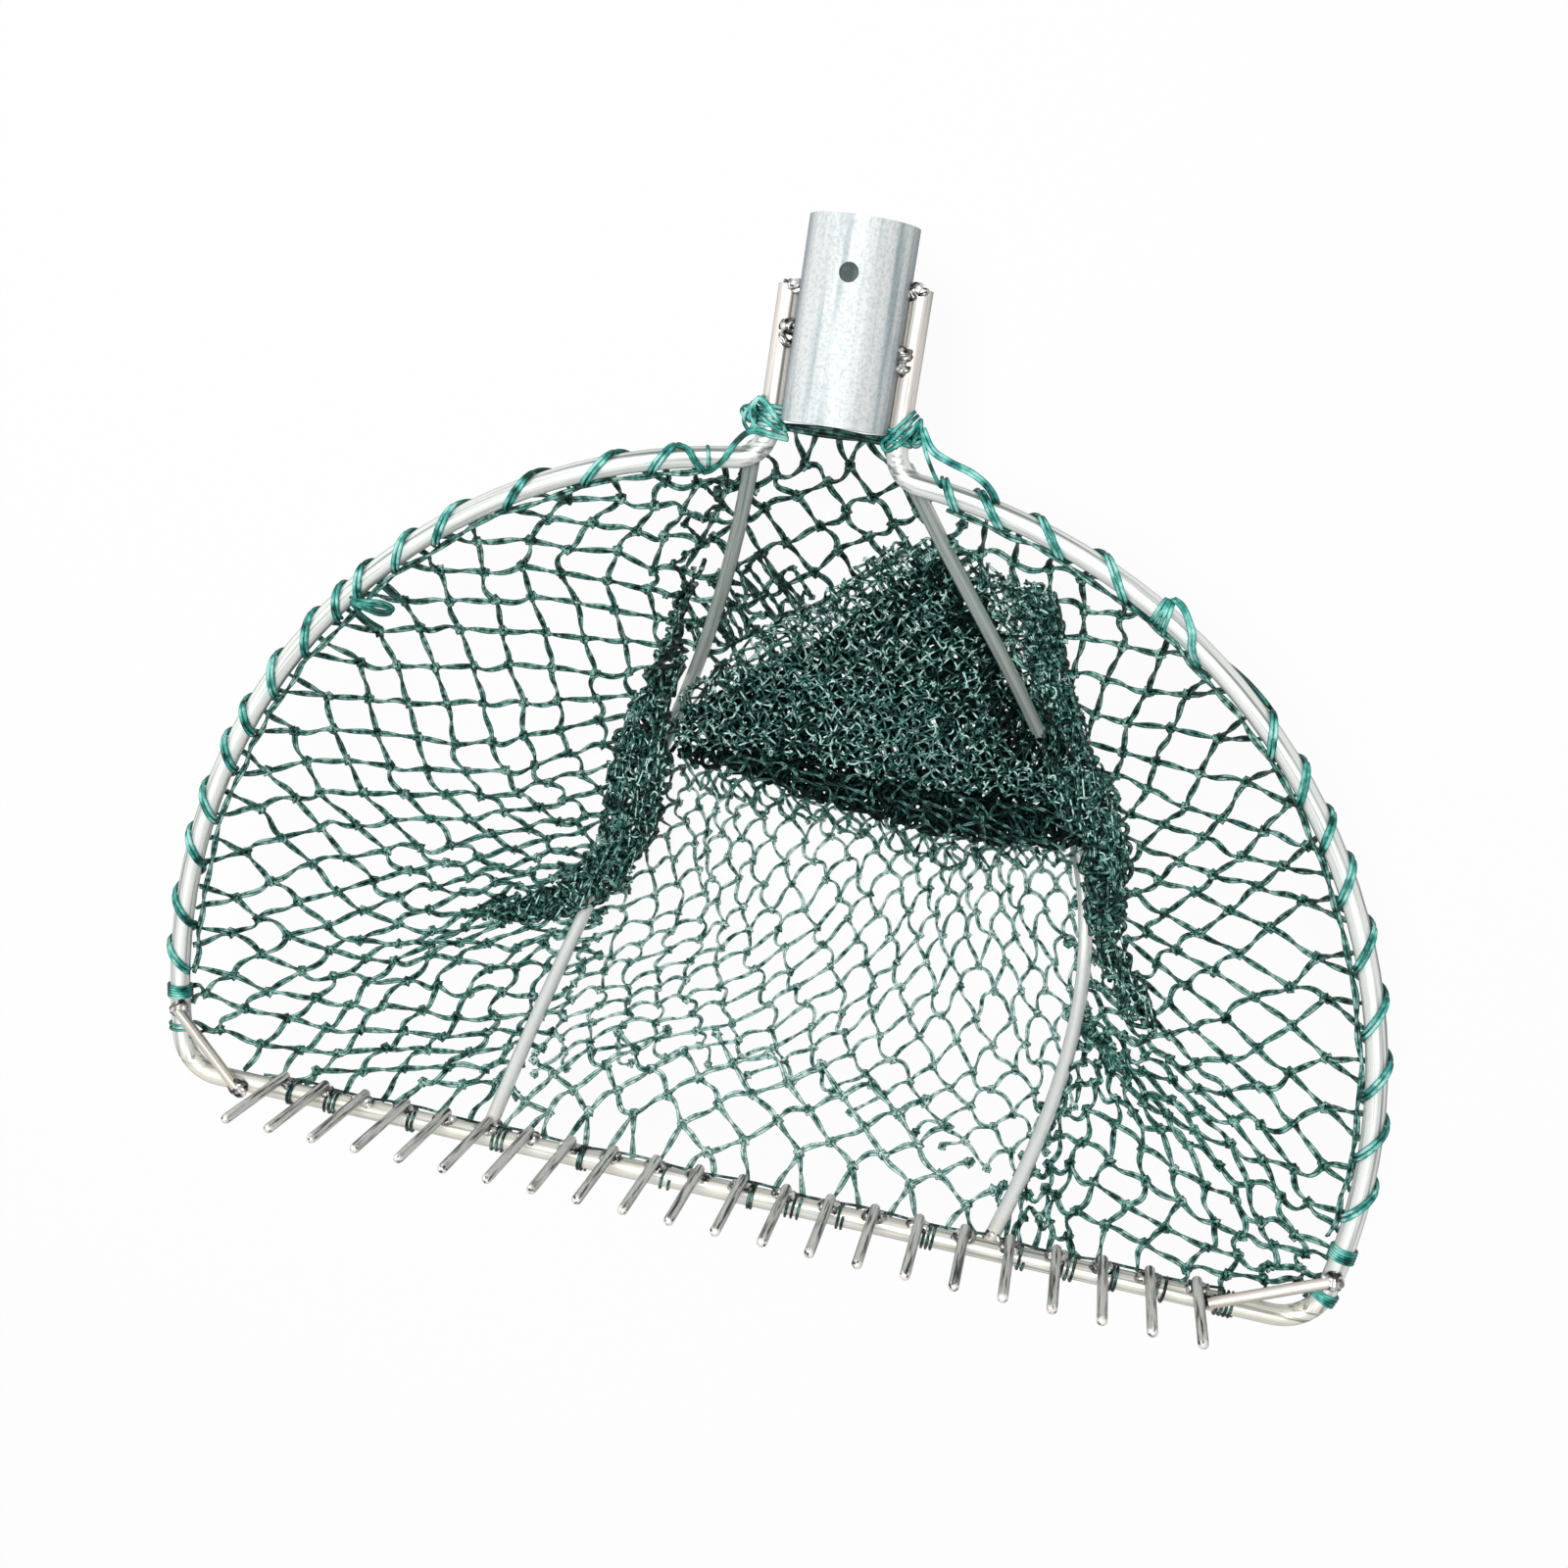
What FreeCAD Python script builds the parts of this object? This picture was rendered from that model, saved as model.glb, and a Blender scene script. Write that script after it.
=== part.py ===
import FreeCAD, Part
import math
import os

from FreeCAD import Vector

# A shellfish rake head with a knotted net bag: a closed D of round rod with a row of straight teeth on
# its flat side, two ribs bowed behind it, a pole socket held between the rod's two turned-up ends, and
# a net laced to the rod all round. All lengths are in millimetres.
# While it is drawn, the middle of the tooth bar is the origin, +X runs along the bar, +Y runs towards
# the pole and +Z is the way the teeth point. At the end it is laid on its back with the net on the floor.

# Stock
ROD_D = 8.0
RIB_D = 6.0
TOOTH_D = 4.0
BRACE_D = 4.4
LACE_D = 2.0
HEADER_D = 3.0

# Pole socket: a plain tube with one hole through both walls
SOCKET_OD = 40.0
SOCKET_WALL = 1.5
SOCKET_BOTTOM_Y = 302.0
SOCKET_LENGTH = 72.5
SOCKET_HOLE_D = 7.0
SOCKET_HOLE_FROM_TOP = 19.5

# D-shaped hoop, centre line: a big arc each side, tight corners at the bar, and tight bends into the legs
HOOP_R = 230.0
HOOP_CENTRE_X = 10.0
HOOP_CENTRE_Y = 57.5
CORNER_R = 18.0
BEND_R = 12.0
LEFT_LEG_TOP_Y = 350.0
RIGHT_LEG_TOP_Y = 354.0

# Teeth
TOOTH_COUNT = 22
TOOTH_PITCH = 18.0
TOOTH_BACK_Z = -1.0
TOOTH_TIP_Z = 50.0

# Ribs: from the hoop's bends, bowed backwards and outwards, to the bar
RIB_TOP_X = 28.5
RIB_TOP_Y = 291.4
RIB_BOW_BACK = 105.0
LEFT_RIB_FOOT_PITCHES = 5.5
RIGHT_RIB_FOOT_PITCHES = 6.0
LEFT_RIB_BOW_OUT = 11.0
RIGHT_RIB_BOW_OUT = 46.0
LEFT_RIB_SKEW = 1.56
RIGHT_RIB_SKEW = 0.92
RIB_SPANS = 12

# Corner braces: short rods laid across the front of the two bottom corners
LEFT_BRACE_ENDS = ((-236.0, 27.5), (-207.0, -0.5))
RIGHT_BRACE_ENDS = ((235.0, 20.5), (194.0, 1.5))
BRACE_BEAD_R = 4.6

# Net bag: a skin from the back of the hoop to a smaller flat bottom behind the ribs
NET_WALL = 3.0
NET_BOTTOM_SCALE = 0.58
NET_SCALE_CENTRE_Y = 130.0

# Gathered netting that lies over the middle of the ribs
PILE_CENTRE = (8.0, 196.0, -70.0)
PILE_HALF_LENGTH = 108.0
PILE_HALF_WIDTH = 50.0
PILE_HALF_HEIGHT = 26.0
PILE_END_SHARE = 0.22
PILE_SECTIONS = 9
PILE_TURN_DEG = -6.0

# Lacing, whippings and ties
LACE_TURNS_PER_SIDE = 17
LACE_STEPS_PER_TURN = 14
LACE_FIRST_DEG = 81.0
LACE_LAST_DEG = -4.0
BAR_LACE_DEG = -118.0
BAR_LACE_HALF_LENGTH = 198.0
WHIPPING_WALL = 2.2
TIE_R = 5.0

# Clearances
SEAT = 0.05
CORD_SEAT = 0.1
SOFT_GAP = 0.3

# Derived sizes
ROD_R = ROD_D / 2.0
RIB_R = RIB_D / 2.0
TOOTH_R = TOOTH_D / 2.0
BRACE_R = BRACE_D / 2.0
LACE_R = LACE_D / 2.0
SOCKET_R = SOCKET_OD / 2.0
SOCKET_TOP_Y = SOCKET_BOTTOM_Y + SOCKET_LENGTH
LEG_X = SOCKET_R + ROD_R + SEAT
BEND_X = LEG_X + BEND_R
BEND_Y = HOOP_CENTRE_Y + math.sqrt((HOOP_R + BEND_R) ** 2 - (BEND_X - HOOP_CENTRE_X) ** 2)
TOOTH_Y = ROD_R + TOOTH_R + SEAT
BRACE_Z = ROD_R + BRACE_R + SEAT
LACE_ROUTE_R = ROD_R + LACE_R + CORD_SEAT
NET_RIM_Z = -(LACE_ROUTE_R + LACE_R + SOFT_GAP)
NET_FLOOR_Z = -(RIB_BOW_BACK + RIB_R + SOFT_GAP)
NET_BASE_Z = NET_FLOOR_Z - NET_WALL
LEFT_RIB_FOOT_X = LEFT_RIB_FOOT_PITCHES * TOOTH_PITCH
RIGHT_RIB_FOOT_X = RIGHT_RIB_FOOT_PITCHES * TOOTH_PITCH
TOOTH_XS = [(k - (TOOTH_COUNT - 1) / 2.0) * TOOTH_PITCH for k in range(TOOTH_COUNT)]


def polar(cx, cy, radius, degrees, side=1):
    """A point on a circle in the mouth's plane; side -1 mirrors it to the left."""
    a = math.radians(degrees)
    return Vector(side * (cx + radius * math.cos(a)), cy + radius * math.sin(a), 0.0)


def arc(cx, cy, radius, start, end, side=1):
    """An arc edge in the mouth's plane, between two angles in degrees."""
    mid = polar(cx, cy, radius, (start + end) / 2.0, side)
    return Part.Arc(polar(cx, cy, radius, start, side), mid, polar(cx, cy, radius, end, side)).toShape()


def line(a, b):
    return Part.makeLine(a, b)


def swept(edges, diameter):
    """A round rod or cord along a chain of edges."""
    path = Part.Wire(edges)
    first = edges[0]
    start = first.valueAt(first.FirstParameter)
    ahead = first.tangentAt(first.FirstParameter)
    ring = Part.Wire(Part.makeCircle(diameter / 2.0, start, ahead))
    return path.makePipeShell([ring], True, False)


def through(points):
    """One smooth edge through a row of points."""
    curve = Part.BSplineCurve()
    curve.interpolate(points)
    return curve.toShape()


def outline_data(scale, inset):
    """Radius, centres and corner angle of the D outline, scaled about the net's middle and drawn in."""
    radius = HOOP_R * scale - inset
    cx = HOOP_CENTRE_X * scale
    cy = NET_SCALE_CENTRE_Y + (HOOP_CENTRE_Y - NET_SCALE_CENTRE_Y) * scale
    bar_y = NET_SCALE_CENTRE_Y * (1.0 - scale) + inset
    corner = CORNER_R * scale - inset
    corner_y = bar_y + corner
    corner_x = cx + math.sqrt((radius - corner) ** 2 - (cy - corner_y) ** 2)
    low_deg = math.degrees(math.atan2(corner_y - cy, corner_x - cx))
    return radius, cx, cy, bar_y, corner, corner_x, corner_y, low_deg


def d_wire(scale, inset, z):
    """The closed D outline at one height."""
    radius, cx, cy, bar_y, corner, corner_x, corner_y, low_deg = outline_data(scale, inset)
    edges = [
        line(Vector(-corner_x, bar_y, 0), Vector(corner_x, bar_y, 0)),
        arc(corner_x, corner_y, corner, -90.0, low_deg),
        arc(cx, cy, radius, low_deg, 90.0),
        line(Vector(cx, cy + radius, 0), Vector(-cx, cy + radius, 0)),
        arc(cx, cy, radius, 90.0, low_deg, -1),
        arc(corner_x, corner_y, corner, low_deg, -90.0, -1),
    ]
    wire = Part.Wire(edges)
    wire.translate(Vector(0, 0, z))
    return wire


def make_hoop():
    """The whole rod: left leg, bend, arc, corner, bar, corner, arc, bend and right leg."""
    radius, cx, cy, bar_y, corner, corner_x, corner_y, low_deg = outline_data(1.0, 0.0)
    high_deg = math.degrees(math.atan2(BEND_Y - cy, BEND_X - cx))
    bend_end_deg = high_deg + 180.0
    leg_foot = Vector(LEG_X, BEND_Y, 0)
    edges = [
        line(Vector(-LEG_X, LEFT_LEG_TOP_Y, 0), Vector(-LEG_X, BEND_Y, 0)),
        arc(BEND_X, BEND_Y, BEND_R, 180.0, bend_end_deg, -1),
        arc(cx, cy, radius, high_deg, low_deg, -1),
        arc(corner_x, corner_y, corner, low_deg, -90.0, -1),
        line(Vector(-corner_x, bar_y, 0), Vector(corner_x, bar_y, 0)),
        arc(corner_x, corner_y, corner, -90.0, low_deg),
        arc(cx, cy, radius, low_deg, high_deg),
        arc(BEND_X, BEND_Y, BEND_R, bend_end_deg, 180.0),
        line(leg_foot, Vector(LEG_X, RIGHT_LEG_TOP_Y, 0)),
    ]
    return swept(edges, ROD_D)


def rib_points(side, foot_x, bow_out, skew):
    """The rib's centre line: a half wave backwards, and a skewed half wave outwards."""
    points = []
    for k in range(RIB_SPANS + 1):
        s = k / float(RIB_SPANS)
        wave = math.sin(math.pi * s)
        x = RIB_TOP_X + (foot_x - RIB_TOP_X) * s + bow_out * wave * (1.0 + skew * (s - 0.5))
        points.append(Vector(side * x, RIB_TOP_Y * (1.0 - s), -RIB_BOW_BACK * wave))
    return points


def make_tooth(x):
    """A straight round tooth with a domed tip, lying on the bar's inner side."""
    shank = Part.makeCylinder(TOOTH_R, TOOTH_TIP_Z - TOOTH_R - TOOTH_BACK_Z,
                              Vector(x, TOOTH_Y, TOOTH_BACK_Z), Vector(0, 0, 1))
    tip = Part.makeSphere(TOOTH_R, Vector(x, TOOTH_Y, TOOTH_TIP_Z - TOOTH_R))
    return shank.fuse(tip).removeSplitter()


def capsule(a, b, radius):
    """A short bead of weld between two points."""
    span = b.sub(a)
    body = Part.makeCylinder(radius, span.Length, a, span)
    return body.fuse(Part.makeSphere(radius, a)).fuse(Part.makeSphere(radius, b)).removeSplitter()


def cut_by(shape, tools):
    """The shape less every tool that comes near it."""
    for tool in tools:
        if shape.BoundBox.intersect(tool.BoundBox):
            shape = shape.cut(tool)
    return shape


def make_socket():
    axis = Vector(0, 1, 0)
    foot = Vector(0, SOCKET_BOTTOM_Y, 0)
    tube = Part.makeCylinder(SOCKET_R, SOCKET_LENGTH, foot, axis)
    tube = tube.cut(Part.makeCylinder(SOCKET_R - SOCKET_WALL, SOCKET_LENGTH, foot, axis))
    drill_foot = Vector(0, SOCKET_TOP_Y - SOCKET_HOLE_FROM_TOP, -SOCKET_OD)
    return tube.cut(Part.makeCylinder(SOCKET_HOLE_D / 2.0, 2.0 * SOCKET_OD, drill_foot, Vector(0, 0, 1)))


def make_brace(ends):
    (x0, y0), (x1, y1) = ends
    a = Vector(x0, y0, BRACE_Z)
    b = Vector(x1, y1, BRACE_Z)
    return Part.makeCylinder(BRACE_R, b.sub(a).Length, a, b.sub(a))


def arc_lace_points(side):
    """The lacing's route round the big arc: one turn for each mesh, from the shoulder to the corner."""
    points = []
    steps = LACE_TURNS_PER_SIDE * LACE_STEPS_PER_TURN
    for k in range(steps + 1):
        share = k / float(steps)
        a = math.radians(LACE_FIRST_DEG + (LACE_LAST_DEG - LACE_FIRST_DEG) * share)
        turn = 2.0 * math.pi * LACE_TURNS_PER_SIDE * share
        reach = HOOP_R + LACE_ROUTE_R * math.cos(turn)
        points.append(Vector(side * (HOOP_CENTRE_X + reach * math.cos(a)),
                             HOOP_CENTRE_Y + reach * math.sin(a), LACE_ROUTE_R * math.sin(turn)))
    return points


def make_bar_lacing():
    """The lacing's run along the bar, low behind it and clear of the rib feet."""
    a = math.radians(BAR_LACE_DEG)
    start = Vector(-BAR_LACE_HALF_LENGTH, LACE_ROUTE_R * math.cos(a), LACE_ROUTE_R * math.sin(a))
    return Part.makeCylinder(LACE_R, 2.0 * BAR_LACE_HALF_LENGTH, start, Vector(1, 0, 0))


def make_whipping(path):
    """Close turns of cord round the hoop, as a sleeve along one arc of its centre line."""
    outer = swept([path], ROD_D + 2.0 * (CORD_SEAT + WHIPPING_WALL))
    return outer.cut(swept([path], ROD_D + 2.0 * CORD_SEAT))


def side_arc(side, start_deg, end_deg):
    """A stretch of the hoop's big arc."""
    return arc(HOOP_CENTRE_X, HOOP_CENTRE_Y, HOOP_R, start_deg, end_deg, side)


def corner_arc(side, start_deg, end_deg):
    """A stretch of the hoop's bottom corner."""
    corner_x, corner_y = outline_data(1.0, 0.0)[5:7]
    return arc(corner_x, corner_y, CORNER_R, start_deg, end_deg, side)


def bag_body(inset, bottom_z):
    """The solid inside the bag's skin, drawn in from its outer surface."""
    return Part.makeLoft([d_wire(1.0, inset, NET_RIM_Z), d_wire(NET_BOTTOM_SCALE, inset, bottom_z)], True, True)


def make_net_bag(holes):
    """An open bag: outer D frustum less an inner one, with room for whatever passes through its rim."""
    return cut_by(bag_body(0.0, NET_BASE_Z).cut(bag_body(NET_WALL, NET_FLOOR_Z)), holes)


def make_gathered_net(holes):
    """The heap of gathered netting: one long cushion laid over the ribs, lofted through oval sections."""
    sections = []
    for k in range(PILE_SECTIONS):
        along = 2.0 * k / (PILE_SECTIONS - 1.0) - 1.0
        girth = math.sqrt(1.0 - (1.0 - PILE_END_SHARE ** 2) * along ** 2)
        oval = Part.Ellipse(Vector(0, 0, 0), PILE_HALF_WIDTH * girth, PILE_HALF_HEIGHT * girth)
        wire = Part.Wire([oval.toShape()])
        wire.rotate(Vector(0, 0, 0), Vector(1, 1, 1), 120.0)
        wire.translate(Vector(PILE_HALF_LENGTH * along, 0, 0))
        sections.append(wire)
    heap = Part.makeLoft(sections, True, False)
    heap.rotate(Vector(0, 0, 0), Vector(0, 0, 1), PILE_TURN_DEG)
    heap.translate(Vector(*PILE_CENTRE))
    heap = heap.common(bag_body(NET_WALL + 2.0 * SOFT_GAP, NET_FLOOR_Z + SOFT_GAP))
    return cut_by(heap, holes)


def build():
    """Every piece of the rake head by name, in the frame it is drawn in."""
    parts = {}
    socket = make_socket()
    hoop = make_hoop()
    teeth = [make_tooth(x) for x in TOOTH_XS]
    left_path = [through(rib_points(-1, LEFT_RIB_FOOT_X, LEFT_RIB_BOW_OUT, LEFT_RIB_SKEW))]
    right_path = [through(rib_points(1, RIGHT_RIB_FOOT_X, RIGHT_RIB_BOW_OUT, RIGHT_RIB_SKEW))]
    left_rib = cut_by(swept(left_path, RIB_D), [hoop] + teeth)
    right_rib = cut_by(swept(right_path, RIB_D), [hoop] + teeth)
    left_brace = make_brace(LEFT_BRACE_ENDS)
    right_brace = make_brace(RIGHT_BRACE_ENDS)
    parts["socket_tube"] = socket
    parts["hoop"] = hoop
    parts["left_rib"] = left_rib
    parts["right_rib"] = right_rib
    parts["left_corner_brace"] = left_brace
    parts["right_corner_brace"] = right_brace
    for k, tooth in enumerate(teeth):
        parts["tooth_%02d" % (k + 1)] = tooth

    bore = Part.makeCylinder(SOCKET_R, SOCKET_LENGTH, Vector(0, SOCKET_BOTTOM_Y, 0), Vector(0, 1, 0))
    frame = [bore, hoop, left_rib, right_rib, left_brace, right_brace] + teeth

    valley_x = SOCKET_R + 1.2
    for side, name, top_y, mid_y in ((-1, "left", LEFT_LEG_TOP_Y, 332.5), (1, "right", RIGHT_LEG_TOP_Y, 328.0)):
        top = capsule(Vector(side * valley_x, top_y - 2.0, 1.0), Vector(side * valley_x, top_y + 0.5, 2.5), 4.0)
        mid = capsule(Vector(side * valley_x, mid_y - 3.5, 3.2), Vector(side * valley_x, mid_y + 3.5, 3.2), 3.2)
        parts[name + "_leg_top_weld"] = cut_by(top, frame)
        parts[name + "_leg_side_weld"] = cut_by(mid, frame)

    for side, name, foot_x in ((-1, "left", LEFT_RIB_FOOT_X), (1, "right", RIGHT_RIB_FOOT_X)):
        top = capsule(Vector(side * 29.5, 286.5, -3.6), Vector(side * 29.8, 289.5, -3.6), 4.0)
        foot = capsule(Vector(side * (foot_x + 0.2), 3.4, -3.9), Vector(side * (foot_x + 2.8), 3.4, -3.9), 3.0)
        parts[name + "_rib_top_weld"] = cut_by(top, frame)
        parts[name + "_rib_foot_weld"] = cut_by(foot, frame)

    for name, ends in (("left", LEFT_BRACE_ENDS), ("right", RIGHT_BRACE_ENDS)):
        for (x, y), end in ((ends[0], "hoop"), (ends[1], "bar")):
            bead = Part.makeSphere(BRACE_BEAD_R, Vector(x, y, ROD_R + 0.6))
            parts["%s_brace_%s_weld" % (name, end)] = cut_by(bead, frame)
    hoop_side_welds = [parts["left_brace_hoop_weld"], parts["right_brace_hoop_weld"]]

    bar = Part.makeCylinder(ROD_R, TOOTH_COUNT * TOOTH_PITCH, Vector(-TOOTH_COUNT * TOOTH_PITCH / 2.0, 0, 0),
                            Vector(1, 0, 0))
    beads = []
    for x, tooth in zip(TOOTH_XS, teeth):
        bead = capsule(Vector(x - 1.6, TOOTH_Y - 2.2, 0.8), Vector(x + 1.6, TOOTH_Y - 2.2, 0.8), 2.3)
        beads.append(cut_by(bead, [bar, tooth, parts["left_rib_foot_weld"], parts["left_brace_bar_weld"],
                                   parts["right_brace_bar_weld"], left_rib]))
    parts["tooth_welds"] = Part.makeCompound([solid for bead in beads for solid in bead.Solids])

    room = RIB_D + 2.0 * SOFT_GAP
    rib_room = [swept(left_path, room), swept(right_path, room)]
    weld_room = [Part.makeSphere(5.4, Vector(side * 29.6, 288.0, -3.6)) for side in (-1, 1)]
    weld_room += [Part.makeSphere(6.6, Vector(x, 4.2, -3.2)) for x in (-LEFT_RIB_FOOT_X, RIGHT_RIB_FOOT_X)]
    parts["net_bag"] = make_net_bag(rib_room + weld_room)
    parts["gathered_net"] = make_gathered_net(rib_room)

    parts["left_lacing"] = swept([through(arc_lace_points(-1))], LACE_D)
    parts["right_lacing"] = swept([through(arc_lace_points(1))], LACE_D)
    parts["bar_lacing"] = make_bar_lacing()
    for name, path in (("left_upper", side_arc(-1, -4.7, -6.0)), ("left_lower", corner_arc(-1, -16.0, -30.0)),
                       ("right_upper", side_arc(1, -5.9, -7.8)), ("right_lower", corner_arc(1, -18.0, -38.0))):
        parts[name + "_whipping"] = cut_by(make_whipping(path), hoop_side_welds)
    tie_x = LEG_X + ROD_R + CORD_SEAT + TIE_R
    for side, name in ((-1, "left"), (1, "right")):
        parts[name + "_collar_tie"] = Part.makeSphere(TIE_R, Vector(side * tie_x, SOCKET_BOTTOM_Y + 3.0, 0))
    header_y = SOCKET_BOTTOM_Y - 6.0
    reach = BEND_X - math.sqrt((BEND_R + ROD_R) ** 2 - (BEND_Y - header_y) ** 2) - CORD_SEAT
    parts["header_cord"] = Part.makeCylinder(HEADER_D / 2.0, 2.0 * reach, Vector(-reach, header_y, 0), Vector(1, 0, 0))
    return parts


def main():
    os.makedirs("parts", exist_ok=True)
    parts = build()
    low_y = LEFT_BRACE_ENDS[1][1] - BRACE_BEAD_R
    shift = Vector(0.0, -(low_y + SOCKET_TOP_Y) / 2.0, -NET_BASE_Z)
    for name, shape in parts.items():
        shape.translate(shift)
        print(name, len(shape.Solids), round(shape.Volume, 1), shape.isValid())
        shape.exportStep("parts/%s.step" % name)
    print("shift", [round(value, 4) for value in shift])


main()
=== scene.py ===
"""A shellfish rake head with a knotted net bag, dressed over its CAD frame.

Lengths are millimetres in the frame the part is drawn in: the middle of the tooth bar is the origin, +X
runs along the bar, +Y towards the pole and +Z the way the teeth point. row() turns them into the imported
model's metres.
"""
import logging
import math
from dataclasses import dataclass
from enum import Enum
from typing import Callable

import bpy
import numpy as np
from mathutils import Matrix, Vector, noise


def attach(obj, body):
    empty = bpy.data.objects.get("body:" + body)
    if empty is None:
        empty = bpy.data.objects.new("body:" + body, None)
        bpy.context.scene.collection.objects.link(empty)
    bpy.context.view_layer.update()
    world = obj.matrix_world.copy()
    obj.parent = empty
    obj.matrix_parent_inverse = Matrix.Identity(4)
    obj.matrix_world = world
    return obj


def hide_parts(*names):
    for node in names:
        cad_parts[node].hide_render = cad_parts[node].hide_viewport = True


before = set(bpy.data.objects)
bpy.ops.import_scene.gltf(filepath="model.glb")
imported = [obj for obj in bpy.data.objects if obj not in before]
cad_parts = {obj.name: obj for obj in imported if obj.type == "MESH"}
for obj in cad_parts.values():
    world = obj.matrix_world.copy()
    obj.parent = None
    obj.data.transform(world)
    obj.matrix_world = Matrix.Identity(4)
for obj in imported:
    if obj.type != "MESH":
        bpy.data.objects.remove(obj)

log = logging.getLogger("rake_head")

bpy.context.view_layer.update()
ROOT = "root"
SHIFT = np.array([0.0, -184.7, 111.3])

# The hoop: two arcs whose centres lie either side of the middle, round corners and the straight tooth bar.
HOOP_R = 230.0
HOOP_CENTRE = (10.0, 57.5)
ROD_R = 4.0
CORNER_R = 18.0
CORNER_CENTRE = (218.3, 18.0)
CORNER_START_DEG = -10.7
BAR_SIDE_Y = 6.0
LEG_X = 24.05
LEG_FROM_Y = 296.0
TOOTH_PITCH = 18.0
TOOTH_COUNT = 22

# The ribs: how far each foot stands out, how far it bows sideways, and how much lower down the bow is fuller.
RIB_TOP = (28.5, 291.4)
RIB_DROP = 105.0
RIB_REACH = {-1: (70.5, 11.0, 1.56), 1: (79.5, 46.0, 0.92)}

# The bag: where it hangs and lies, and how the gathered layers rest on it and on each other.
HEADER_Y = 298.6
HEADER_HALF = 18.0
TWINE_LIE_Z = -108.2
UNDER_ROD_Z = -6.0
NET_UNDER_RIB = 5.0
NET_TOP_Z = -5.5
NET_TOP_Y = 293.0
RING_CLEARANCE = 7.0
RIB_BARE_ABOVE = 186.0
LAYER_STEP = 0.3
LOWEST_LAYER = -75.0
LAYER_TOP_Z = -10.0
RIB_GROOVE = (6.0, 15.0)
RIB_BARE_EASE = 8.0
KNOT_CORD = 0.56

# How the bag's parts slope: millimetres of fall for each millimetre from the rod, and where each slope ends.
WALL_CURVE = 0.8
NARROW_WALL = 14.0
STRIP_SLOPE = 1.1
STRIP_REACH = 44.0
TOP_SLOPE = 0.95
TOP_REACH = 90.0
RIDGE_RISE = 62.0
RIDGE_Y = (20.0, 125.0)
BELLY_TO_RIB = (-4.0, 34.0)

# The photograph's camera, in the drawn frame, and its picture in pixels.
PHOTO_SIZE = 1600.0
PHOTO_LENS = 38.948
SENSOR = 36.0
PHOTO_EYE = (103.0, 298.7, 624.8)
PHOTO_RIGHT = (0.970839, 0.147797, -0.188752)
PHOTO_DOWN = (0.181048, -0.968110, 0.173159)
PHOTO_AHEAD = (-0.157141, -0.202283, -0.966638)

# Knots read off the photograph, in its pixels: (row, first step, stride, places).
LEFT_KNOTS = (
    (-4, 4, 1, ((632, 512), (672, 520), (698, 520), (728, 525))),
    (-2, 2, 1, ((487, 555), (542, 550), (580, 562), (628, 562), (664, 580), (699, 583))),
    (0, 0, 2, ((412, 612), (505, 611), (583, 614), (671, 631))),
    (2, -2, 2, ((364, 678), (445, 677), (522, 677), (608, 687))),
    (4, -4, 2, ((303, 743), (386, 747), (464, 758), (538, 752), (606, 736))),
    (6, -6, 2, ((268, 823), (331, 810), (415, 810), (492, 810), (560, 800))),
    (8, -8, 2, ((237, 915), (313, 883), (392, 871), (463, 858), (540, 845))),
    (10, -10, 2, ((237, 993), (298, 955), (373, 930), (442, 903), (512, 885), (580, 868))),
    (12, -12, 2, ((265, 1067), (320, 1017), (370, 983), (440, 947), (505, 918))),
    (14, -12, 2, ((347, 1073), (393, 1025), (435, 977), (510, 943), (565, 920))),
    (16, -12, 2, ((435, 1072), (467, 1038), (497, 988), (562, 950))),
    (18, -12, 2, ((520, 1068), (540, 1036), (560, 985))),
)
RIGHT_KNOTS = (
    (-2, -4, 1, ((1035, 573), (1072, 583), (1106, 592))),
    (0, -3, 1, ((1072, 651), (1102, 651), (1140, 661), (1183, 667))),
    (2, -1, 2, ((1118, 731), (1194, 744), (1292, 766))),
    (4, 0, 2, ((1135, 790), (1209, 822), (1290, 849))),
    (6, 2, 2, ((1167, 862), (1241, 894), (1328, 921))),
    (8, 5, 1, ((1226, 951), (1268, 975), (1314, 1004), (1351, 1026))),
    (10, 6, 2, ((1214, 1009), (1284, 1066), (1353, 1132))),
    (12, 6, 2, ((1168, 1030), (1220, 1083), (1288, 1151), (1340, 1230))),
    (14, 9, 2, ((1195, 1103), (1255, 1167), (1288, 1245))),
    (16, 10, 2, ((1165, 1115), (1212, 1168), (1240, 1247))),
    (18, 10, 2, ((1143, 1085), (1158, 1135), (1170, 1208), (1125, 1250))),
    (20, 11, 2, ((1120, 1080), (1110, 1135), (1093, 1190))),
    (22, 12, 2, ((1085, 1120), (1062, 1170), (1050, 1218))),
)
BELLY_KNOTS = (
    (-6, -7, 1, ((667, 915),)),
    (-5, -5, 1, ((717, 912), (726, 892))),
    (-3, -7, 3, ((643, 983), (738, 945), (800, 880))),
    (-1, -7, 3, ((640, 1018), (731, 987), (821, 925), (880, 850))),
    (2, -7, 3, ((635, 1066), (748, 1043), (846, 984), (920, 908), (968, 845))),
    (4, -4, 3, ((757, 1077), (860, 1030), (937, 957), (982, 882))),
    (6, -1, 3, ((868, 1077), (953, 1010), (998, 930))),
    (8, -1, 3, ((900, 1118), (975, 1065), (1026, 980), (1050, 905))),
    (10, 0, 3, ((963, 1143), (1035, 1092), (1068, 1010))),
    (12, 1, 3, ((1033, 1177), (1080, 1108))),
)
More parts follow.
